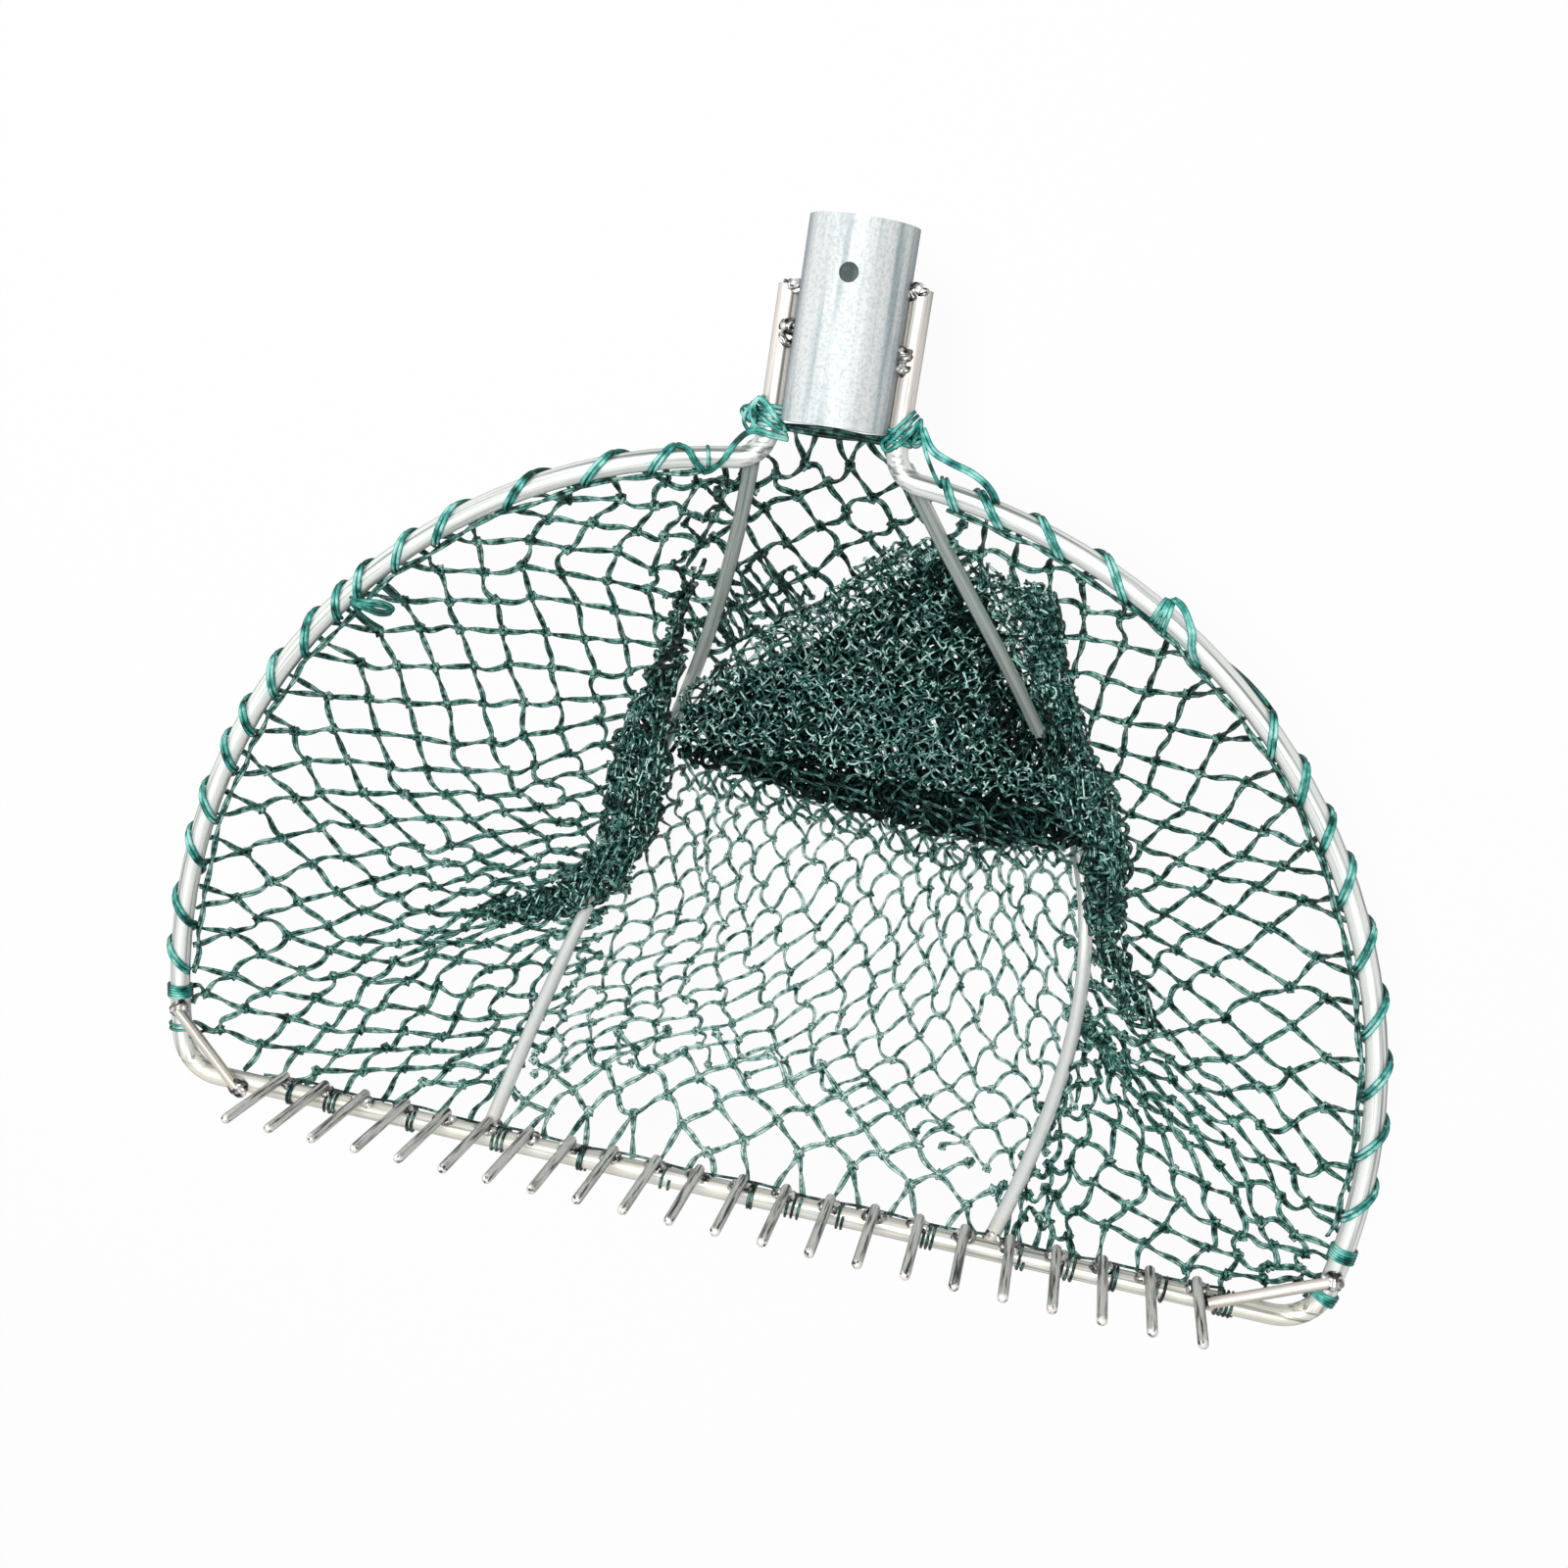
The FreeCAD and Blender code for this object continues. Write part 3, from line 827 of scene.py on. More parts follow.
@dataclass(frozen=True)
class TwineFinish:
    """Laid plastic twine: filaments, a painted highlight on its crests, and painted shade that turns it near
    black at its edges and in its hollows.
    """

    name: str
    # dark is the colour of the painted shade at the edges and the patches' darkest; light is the patches'
    # painted highlight.
    dark: tuple = (0.001, 0.014, 0.011)
    mid: tuple = (0.05, 0.21, 0.17)
    light: tuple = (0.34, 0.58, 0.52)
    stops: tuple = (0.34, 0.50, 0.64)
    roughness: float = 0.42
    patch_scale: float = 330.0
    sheen: float = 0.28
    shade_under_rod: bool = False

    def build(self) -> bpy.types.Material:
        """Makes the material.

        Returns:
            The material.
        """
        n = Nodes(self.name)
        # Noise patches from near black to light: painted highlight and shade scattered along the strands.
        shades = tuple(zip(self.stops, (self.dark, self.mid, self.light)))
        painted_light_patches = n.ramp(n.cloud(self.patch_scale, 2.0), shades)
        # Painted shade: near black towards the strands' edges, where they turn away from the eye.
        share = n.painted_edge_shade((0.22, 0.72))
        if self.shade_under_rod:
            # Painted shade where the cord passes under the rod.
            low = n.span(n.along(2), (row_along(3.6, 2), row_along(-1.5, 2)), most=0.92)
            share = math_node(n.tree, "MAXIMUM", share, low)
        filaments = n.add("ShaderNodeTexWave", bands_direction="DIAGONAL")
        filaments.inputs["Scale"].default_value = 1.6
        filaments.inputs["Distortion"].default_value = 1.5
        n.link(n.add("ShaderNodeTexCoord").outputs["UV"], filaments.inputs["Vector"])
        return n.finish(Base_Color=n.mix(share, painted_light_patches, self.dark), Roughness=self.roughness,
                        Specular_IOR_Level=self.sheen, Normal=n.bump(filaments.outputs["Fac"], 0.3, 0.00015))


@dataclass(frozen=True)
class GalvanisedFinish:
    """Zinc-coated tube: bluish grey with lengthwise streaks, faint crystals and bright scuffs, with painted
    shade towards its edges.
    """

    name: str = "galvanised_tube"
    streaks: tuple = ((0.30, (0.40, 0.47, 0.50)), (0.42, (0.58, 0.64, 0.66)), (0.50, (0.74, 0.78, 0.78)),
                      (0.64, (0.84, 0.86, 0.86)))
    pits: tuple = ((0.36, (0.74, 0.76, 0.77)), (0.50, (0.93, 0.94, 0.94)), (0.62, (1.0, 1.0, 1.0)))
    # Colour of the painted shade towards the tube's edges, where it turns away from the eye.
    painted_edge_shade: tuple = (0.20, 0.25, 0.28)

    def build(self) -> bpy.types.Material:
        """Makes the material.

        Returns:
            The material.
        """
        n = Nodes(self.name)
        streak = n.group(STREAKS, Vector=n.place(), Across=210.0, Along=8.0)
        crystals = n.ramp(n.cloud(820.0, 2.0), self.pits)
        spangle = n.mix(0.75, n.ramp(streak, self.streaks), crystals, "MULTIPLY")
        grain = n.group(STREAKS, Vector=n.place(), Across=1500.0, Along=70.0)
        rough = math_node(n.tree, "ADD", math_node(n.tree, "MULTIPLY", grain, 0.3), 0.5)
        # Painted shade towards the tube's edges.
        zinc_edge_shaded = n.mix(n.painted_edge_shade((0.38, 0.95), 0.85), spangle, self.painted_edge_shade)
        return n.finish(Base_Color=zinc_edge_shaded, Metallic=0.2, Roughness=rough, Normal=n.bump(grain, 0.3, 0.0004))


@dataclass(frozen=True)
class WeldFinish:
    """Weld metal: dark bronze and grey, near black in the hollows, partly oxide and partly painted shade, with
    a painted highlight on the crests.
    """

    name: str = "weld_bead"
    shades: tuple = ((0.36, (0.012, 0.012, 0.011)), (0.46, (0.15, 0.145, 0.14)), (0.55, (0.52, 0.51, 0.49)),
                     (0.68, (0.92, 0.91, 0.89)))

    def build(self) -> bpy.types.Material:
        """Makes the material.

        Returns:
            The material.
        """
        n = Nodes(self.name)
        # One noise sets both the bumps and the colour, so the crests carry the painted highlight and the
        # hollows the dark.
        cloud = n.cloud(350.0, 4.0)
        return n.finish(Base_Color=n.ramp(cloud, self.shades), Metallic=0.9, Roughness=0.28,
                        Normal=n.bump(cloud, 0.6, 0.0006))


class Green(Enum):
    """The shades of cord and twine: the teal lacing cord, and copies of the net's one twine, some with painted
    highlight and some with painted shade.
    """

    NET = TwineFinish("green_net_twine")
    # Painted shade: the net's twine darkened where it lies in shadow, in folds, creases, under the socket and
    # under the bar.
    SHADED = TwineFinish("shaded_net_twine", dark=(0.0, 0.006, 0.005), mid=(0.012, 0.075, 0.062),
                       light=(0.16, 0.36, 0.31))
    PALER = TwineFinish("paler_net_twine", dark=(0.006, 0.07, 0.056), mid=(0.22, 0.43, 0.38),
                       light=(0.64, 0.84, 0.79))
    # Painted shade: the net's twine near black for the deepest layers of the gathered net.
    DEEP_SHADE = TwineFinish("deep_shade_net_twine", dark=(0.0, 0.002, 0.002), mid=(0.001, 0.012, 0.010),
                       light=(0.014, 0.055, 0.045), roughness=0.7, sheen=0.1)
    # Painted highlight: the net's twine made lighter for the lit top threads of the gathered net.
    LIT = TwineFinish("lit_net_twine", dark=(0.0, 0.010, 0.008), mid=(0.025, 0.14, 0.115),
                         light=(0.58, 0.90, 0.82), stops=(0.37, 0.49, 0.60), sheen=0.25)
    LACE = TwineFinish("teal_lacing_cord", dark=(0.0, 0.045, 0.036), mid=(0.05, 0.42, 0.35),
                       light=(0.36, 0.82, 0.74), patch_scale=160.0, shade_under_rod=True)


# Shapes


class MeshParts:
    """Vertices, faces and face-corner UVs gathered for one piece."""

    def __init__(self) -> None:
        """Starts empty."""
        self.places: list = []
        self.corners: list = []
        self.sizes: list = []
        self.uvs: list = []
        self.count = 0

    def add(self, places: np.ndarray, faces: np.ndarray, uvs: np.ndarray) -> None:
        """Adds vertices with faces of one size.

        Args:
            places: (n, 3) drawn millimetres.
            faces: (m, k) vertex numbers.
            uvs: (m, k, 2) face-corner coordinates.
        """
        self.places.append(places)
        self.corners.append((faces + self.count).ravel())
        self.sizes.append(np.full(len(faces), faces.shape[1]))
        self.uvs.append(uvs.reshape(-1, 2))
        self.count += len(places)

    def again(self, faces: np.ndarray, uvs: np.ndarray, back: int) -> None:
        """Adds more faces on the last vertices added.

        Args:
            faces: (m, k) numbers counted from the start of those vertices.
            uvs: (m, k, 2) face-corner coordinates.
            back: how many vertices those were.
        """
        self.corners.append((faces + self.count - back).ravel())
        self.sizes.append(np.full(len(faces), faces.shape[1]))
        self.uvs.append(uvs.reshape(-1, 2))

    def build(self, name: str, material: bpy.types.Material) -> bpy.types.Object:
        """Makes the object, smooth shaded.

        Args:
            name: the piece's name.
            material: its finish.

        Returns:
            The new object, already in the scene.
        """
        places = row(np.concatenate(self.places))
        corners = np.concatenate(self.corners).astype(np.int32)
        sizes = np.concatenate(self.sizes)
        starts = np.concatenate(([0], np.cumsum(sizes)[:-1])).astype(np.int32)
        mesh = bpy.data.meshes.new(name)
        mesh.vertices.add(len(places))
        mesh.vertices.foreach_set("co", places.astype(np.float32).ravel())
        mesh.loops.add(len(corners))
        mesh.loops.foreach_set("vertex_index", corners)
        mesh.polygons.add(len(sizes))
        mesh.polygons.foreach_set("loop_start", starts)
        mesh.update(calc_edges=True)
        layer = mesh.uv_layers.new(name="twine")
        layer.data.foreach_set("uv", np.concatenate(self.uvs).astype(np.float32).ravel())
        mesh.polygons.foreach_set("use_smooth", np.ones(len(sizes), bool))
        mesh.validate()
        mesh.materials.append(material)
        log.info("%s: %d triangles", name, int((sizes - 2).sum()))
        piece = bpy.data.objects.new(name, mesh)
        bpy.context.scene.collection.objects.link(piece)
        return piece


@dataclass(frozen=True)
class Twine:
    """Laid twine: a few round strands wound about each other."""

    strand_r: float = 0.66
    lay: float = 34.0
    strands: int = 2
    sides: int = 5
    spread: float = 0.95

    def wind(self, parts: MeshParts, runs: np.ndarray, phases: np.ndarray,
             normals: np.ndarray | None = None) -> None:
        """Adds the strands of many runs of twine, all with the same number of points.

        Args:
            parts: what to add to.
            runs: (n, m, 3) points along each run.
            phases: (n,) the angle at which each run's strands start.
            normals: (n, m, 3) directions square to the runs, or None for upright ones.
        """
        count, steps, _ = runs.shape
        ahead = unit(np.gradient(runs, axis=1))
        if normals is None:
            mean = unit(ahead.mean(axis=1))
            pick = np.where(np.abs(mean[:, 2:3]) > 0.9, np.array([[1.0, 0, 0]]), np.array([[0, 0, 1.0]]))
            normals = np.repeat(pick[:, None, :], steps, axis=1)
        side = unit(normals - (normals * ahead).sum(-1, keepdims=True) * ahead)
        across = np.cross(ahead, side)
        lengths = np.linalg.norm(np.diff(runs, axis=1), axis=-1)
        reach = np.concatenate([np.zeros((count, 1)), np.cumsum(lengths, axis=1)], axis=1)
        turn = phases[:, None] + 2.0 * np.pi * reach / self.lay
        strand_turn = turn[:, :, None] + 2.0 * np.pi * np.arange(self.strands) / self.strands
        off = self.strand_r * self.spread if self.strands > 1 else 0.0
        middle = runs[:, :, None, :] + off * (np.cos(strand_turn)[..., None] * side[:, :, None, :]
                                              + np.sin(strand_turn)[..., None] * across[:, :, None, :])
        around = 2.0 * np.pi * np.arange(self.sides) / self.sides
        ring = (np.cos(around)[None, None, :, None] * side[:, :, None, :]
                + np.sin(around)[None, None, :, None] * across[:, :, None, :])
        places = middle[:, :, :, None, :] + self.strand_r * ring[:, :, None, :, :]
        index = np.arange(places[..., 0].size).reshape(count, steps, self.strands, self.sides)
        after = np.roll(index, -1, axis=3)
        quads = np.stack([index[:, :-1], after[:, :-1], after[:, 1:], index[:, 1:]], axis=-1).reshape(-1, 4)
        u = np.broadcast_to(reach[:, :, None, None] / 4.0, index.shape)
        v = np.broadcast_to(np.arange(self.sides) / self.sides, index.shape)
        step = 1.0 / self.sides
        near, far, low, high = u[:, :-1], u[:, 1:], v[:, :-1], v[:, 1:]
        corners = ((near, low), (near, low + step), (far, high + step), (far, high))
        uvs = np.stack([np.stack(corner, -1) for corner in corners], axis=-2).reshape(-1, 4, 2)
        parts.add(places.reshape(-1, 3), quads, uvs)
        ends = [index[:, 0, :, ::-1].reshape(-1, self.sides), index[:, -1].reshape(-1, self.sides)]
        caps = np.concatenate(ends)
        flat = np.stack([np.cos(around), np.sin(around)], -1) * 0.1
        parts.again(caps, np.broadcast_to(flat, (len(caps), self.sides, 2)), places[..., 0].size)


def matrices(*lines: tuple) -> np.ndarray:
    """Stacks lines of entries into one matrix for each of many turns.

    Args:
        lines: the matrix's three lines, each of three (n,) arrays.

    Returns:
        (n, 3, 3) matrices.
    """
    return np.stack([np.stack(entries, -1) for entries in lines], 1)


class KnotShape:
    """One mesh knot as a small closed tube that loops through itself."""

    def __init__(self, radius: float = 1.4, cord_r: float = 0.78, steps: int = 14, sides: int = 4) -> None:
        """Makes the pattern knot.

        Args:
            radius: of the loops, in millimetres.
            cord_r: radius of the cord in it.
            steps: rings along it.
            sides: corners round it.
        """
        t = np.linspace(0.0, 2.0 * np.pi, steps, endpoint=False)
        wave = 1.0 + 0.42 * np.cos(3.0 * t)
        flat = [wave * np.cos(2.0 * t), wave * np.sin(2.0 * t), 0.75 * np.sin(3.0 * t)]
        line = radius * np.stack(flat, -1)
        ahead = unit(np.roll(line, -1, axis=0) - np.roll(line, 1, axis=0))
        out = line - line.mean(axis=0)
        side = unit(out - (out * ahead).sum(-1, keepdims=True) * ahead)
        across = np.cross(ahead, side)
        around = 2.0 * np.pi * np.arange(sides) / sides
        ring = (np.cos(around)[None, :, None] * side[:, None, :]
                + np.sin(around)[None, :, None] * across[:, None, :])
        self.places = (line[:, None, :] + cord_r * ring).reshape(-1, 3)
        index = np.arange(steps * sides).reshape(steps, sides)
        turned = np.roll(index, -1, axis=0)
        quads = [index, np.roll(index, -1, axis=1), np.roll(turned, -1, axis=1), turned]
        self.faces = np.stack(quads, -1).reshape(-1, 4)
        u = np.repeat(np.arange(steps) * 0.3, sides)
        v = np.tile(np.arange(sides) / sides, steps)
        one = 1.0 / sides
        corners = ((u, v), (u, v + one), (u + 0.3, v + one), (u + 0.3, v))
        self.uvs = np.stack([np.stack(corner, -1) for corner in corners], 1)

    def tie(self, parts: MeshParts, places: np.ndarray, turns: np.ndarray, tilts: np.ndarray) -> None:
        """Adds a knot at every place.

        Args:
            parts: what to add to.
            places: (n, 3) drawn millimetres.
            turns: (n,) angle of each about the vertical.
            tilts: (n, 2) lean of each about X and Y.
        """
        if not len(places):
            return
        c, s = np.cos(turns), np.sin(turns)
        zero, one = np.zeros_like(c), np.ones_like(c)
        spin = matrices((c, -s, zero), (s, c, zero), (zero, zero, one))
        cx, sx = np.cos(tilts[:, 0]), np.sin(tilts[:, 0])
        cy, sy = np.cos(tilts[:, 1]), np.sin(tilts[:, 1])
        lean_x = matrices((one, zero, zero), (zero, cx, -sx), (zero, sx, cx))
        lean_y = matrices((cy, zero, sy), (zero, one, zero), (-sy, zero, cy))
        turned = np.einsum("nij,njk,nkl,vl->nvi", lean_x, lean_y, spin, self.places)
        all_places = (turned + places[:, None, :]).reshape(-1, 3)
        starts = np.arange(len(places)) * len(self.places)
        faces = (self.faces[None] + starts[:, None, None]).reshape(-1, 4)
        parts.add(all_places, faces, np.tile(self.uvs, (len(places), 1, 1)))


class Warp:
    """A smooth map from lattice steps to places, through measured knots (a thin plate)."""

    def __init__(self, steps: np.ndarray, places: np.ndarray, ease: float = 0.02) -> None:
        """Solves for the map.

        Args:
            steps: (n, 2) lattice indices of the measured knots.
            places: (n, 3) where they are.
            ease: how far the map may leave them for smoothness.
        """
        self.steps = steps
        count = len(steps)
        kernel = self.kernel(steps) + ease * np.eye(count)
        flat = np.hstack([np.ones((count, 1)), steps])
        system = np.vstack([np.hstack([kernel, flat]), np.hstack([flat.T, np.zeros((3, 3))])])
        self.weights = np.linalg.solve(system, np.vstack([places, np.zeros((3, 3))]))

    def kernel(self, points: np.ndarray) -> np.ndarray:
        """The thin-plate kernel from points to the measured steps."""
        far = np.linalg.norm(points[:, None, :] - self.steps[None], axis=-1)
        return far ** 2 * np.log(np.maximum(far, 1e-9))

    def __call__(self, points: np.ndarray) -> np.ndarray:
        """Places for lattice points."""
        flat = np.hstack([np.ones((len(points), 1)), points])
        return np.hstack([self.kernel(points), flat]) @ self.weights


def inside(points: np.ndarray, outline: np.ndarray) -> np.ndarray:
    """Finds which flat points are inside a closed outline.

    Args:
        points: (n, 2) points.
        outline: (m, 2) corners in order.

    Returns:
        (n,) true where a point is inside.
    """
    x, y = points[:, 0][:, None], points[:, 1][:, None]
    a, b = outline, np.roll(outline, -1, axis=0)
    rise = b[:, 1] - a[:, 1]
    crosses = (a[:, 1] > y) != (b[:, 1] > y)
    at = a[:, 0] + (y - a[:, 1]) * (b[:, 0] - a[:, 0]) / np.where(np.abs(rise) < 1e-9, 1e-9, rise)
    return (crosses & (x < at)).sum(axis=1) % 2 == 1


def ease_between(value: np.ndarray, low: float, high: float) -> np.ndarray:
    """0 below low, 1 above high, and a smooth step between them."""
    t = np.clip((value - low) / (high - low), 0.0, 1.0)
    return t * t * (3.0 - 2.0 * t)


class PhotoView:
    """Turns the photograph's pixels into places at a given depth, and places into pixels."""

    def __init__(self) -> None:
        """Takes the camera's values from the top of the script."""
        self.eye = np.array(PHOTO_EYE)
        self.axes = np.array((PHOTO_RIGHT, PHOTO_DOWN, PHOTO_AHEAD))
        self.focal = PHOTO_LENS / SENSOR * PHOTO_SIZE
        self.middle = PHOTO_SIZE / 2.0

    def pixels(self, places: np.ndarray) -> np.ndarray:
        """Where places are seen in the photograph."""
        seen = (places - self.eye) @ self.axes.T
        return self.middle + self.focal * seen[:, :2] / seen[:, 2:3]

    def places(self, pixels: np.ndarray, depth: Callable) -> np.ndarray:
        """Places seen at pixels, on a surface whose height is depth(places).

        Args:
            pixels: (n, 2) pixels.
            depth: the height for (n, 3) places.

        Returns:
            (n, 3) drawn millimetres.
        """
        flat = (np.asarray(pixels, float) - self.middle) / self.focal
        rays = np.hstack([flat, np.ones((len(flat), 1))]) @ self.axes
        height = np.full(len(flat), -30.0)
        for _ in range(60):
            found = self.eye + rays * ((height - self.eye[2]) / rays[:, 2])[:, None]
            height = 0.6 * height + 0.4 * depth(found)
        return found


VIEW = PhotoView()


class HoopLine:
    """The centre line of the hoop's rod: two arcs, and the straight bar between them."""

    @staticmethod
    def foot(points: np.ndarray) -> tuple:
        """The nearest places on the line.

        Args:
            points: (n, 3) drawn millimetres.

        Returns:
            The places, the flat directions to them, and how far inside the hoop the points are.
        """
        sign = np.where(points[:, 0] < 0, -1.0, 1.0)
        x, y = np.abs(points[:, 0]) - HOOP_CENTRE[0], points[:, 1] - HOOP_CENTRE[1]
        far = np.maximum(np.hypot(x, y), 1.0)
        to_arc, to_bar = HOOP_R - far, points[:, 1]
        level = 0.0 * x
        arc_x, arc_y = HOOP_CENTRE[0] + HOOP_R * x / far, HOOP_CENTRE[1] + HOOP_R * y / far
        arc = np.stack([sign * arc_x, arc_y, level], -1)
        bar = np.stack([points[:, 0], level, level], -1)
        on_bar = (to_bar < to_arc)[:, None]
        out = np.where(on_bar, np.array([[0.0, -1.0]]), np.stack([sign * x / far, y / far], -1))
        feet, inward = np.where(on_bar, bar, arc), np.minimum(to_arc, to_bar)
        u, v = np.abs(points[:, 0]) - CORNER_CENTRE[0], points[:, 1] - CORNER_CENTRE[1]
        turn = np.maximum(np.hypot(u, v), 0.1)
        in_corner = (u > 0) & (v < u * math.tan(math.radians(CORNER_START_DEG)))
        corner_x = CORNER_CENTRE[0] + CORNER_R * u / turn
        corner_y = CORNER_CENTRE[1] + CORNER_R * v / turn
        corner = np.stack([sign * corner_x, corner_y, level], -1)
        feet = np.where(in_corner[:, None], corner, feet)
        out = np.where(in_corner[:, None], np.stack([sign * u / turn, v / turn], -1), out)
        return feet, out, np.where(in_corner, CORNER_R - turn, inward)

    @staticmethod
    def on_arc(side: int, degrees: np.ndarray, reach: np.ndarray, height: np.ndarray) -> np.ndarray:
        """Places round one arc of the hoop.

        Args:
            side: -1 for the left arc, 1 for the right.
            degrees: where round it.
            reach: how far from its centre.
            height: how far over the rod's middle.

        Returns:
            (n, 3) drawn millimetres.
        """
        angle = np.radians(degrees)
        x, y = HOOP_CENTRE[0] + reach * np.cos(angle), HOOP_CENTRE[1] + reach * np.sin(angle)
        return np.stack([side * x, y, height], -1)


class HeaderLine:
    """The cord between the legs, which the middle of the net hangs from."""

    @staticmethod
    def foot(points: np.ndarray) -> tuple:
        """The nearest places on the cord.

        Args:
            points: (n, 3) drawn millimetres.

        Returns:
            The places, the flat directions to them, and how far below the cord the points are.
        """
        level = 0.0 * points[:, 0]
        along = np.clip(points[:, 0], -HEADER_HALF, HEADER_HALF)
        feet = np.stack([along, level + HEADER_Y, level + 1.0], -1)
        return feet, np.stack([level, level + 1.0], -1), HEADER_Y - points[:, 1]


def rib_line(side: np.ndarray, y: np.ndarray) -> tuple:
    """Where a rib passes: its X and Z at each Y.

    Args:
        side: -1 for the left rib, 1 for the right.
        y: drawn Y.

    Returns:
        X and Z of its middle.
    """
    s = np.clip(1.0 - y / RIB_TOP[1], 0.0, 1.0)
    wave = np.sin(np.pi * s)
    lines = {}
    for key, (reach, bow, skew) in RIB_REACH.items():
        lines[key] = RIB_TOP[0] + reach * s + bow * wave * (1.0 + skew * (s - 0.5))
    return side * np.where(side < 0, lines[-1], lines[1]), -RIB_DROP * wave


def side_depth(places: np.ndarray) -> np.ndarray:
    """Height of the bag's side walls, which fall from the rod to just under the ribs.

    Args:
        places: (n, 3) drawn millimetres.

    Returns:
        (n,) heights.
    """
    side = np.where(places[:, 0] < 0, -1.0, 1.0)
    rib_x, rib_z = rib_line(side, places[:, 1])
    rise = np.clip(places[:, 1], 0.0, HOOP_CENTRE[1] + HOOP_R - 1.0) - HOOP_CENTRE[1]
    hoop_x = HOOP_CENTRE[0] + np.sqrt(HOOP_R ** 2 - rise ** 2)
    share = np.clip((hoop_x - np.abs(places[:, 0])) / np.maximum(hoop_x - np.abs(rib_x), NARROW_WALL), 0.0, 1.0)
    return UNDER_ROD_Z + (rib_z - NET_UNDER_RIB - UNDER_ROD_Z) * share ** WALL_CURVE


def belly_depth(places: np.ndarray) -> np.ndarray:
    """Height of the netting on the floor, which climbs to the ridge behind the bar and to the ribs.

    Args:
        places: (n, 3) drawn millimetres.

    Returns:
        (n,) heights.
    """
    floor = TWINE_LIE_Z + RIDGE_RISE * (1.0 - ease_between(places[:, 1], *RIDGE_Y))
    left, rib_z = rib_line(-np.ones(len(places)), places[:, 1])
    right, _ = rib_line(np.ones(len(places)), places[:, 1])
    within = np.minimum(places[:, 0] - left, right - places[:, 0])
    under = np.maximum(rib_z - NET_UNDER_RIB, TWINE_LIE_Z)
    return under + (floor - under) * ease_between(within, *BELLY_TO_RIB)


def strip_depth(places: np.ndarray) -> np.ndarray:
    """Height of the netting from the bar down to the ridge."""
    return UNDER_ROD_Z - STRIP_SLOPE * np.clip(places[:, 1], 0.0, STRIP_REACH)


def top_depth(places: np.ndarray) -> np.ndarray:
    """Height of the netting that hangs from the cord between the legs."""
    return UNDER_ROD_Z - TOP_SLOPE * np.clip(LEG_FROM_Y - places[:, 1], 0.0, TOP_REACH)


def neighbours(number: np.ndarray) -> np.ndarray:
    """Pairs of lattice points next to each other, those along the first direction first.

    Args:
        number: the lattice points' numbers, in its shape.

    Returns:
        (n, 2) pairs of numbers.
    """
    return np.concatenate([
        np.stack([number[:-1].ravel(), number[1:].ravel()], -1),
        np.stack([number[:, :-1].ravel(), number[:, 1:].ravel()], -1)])


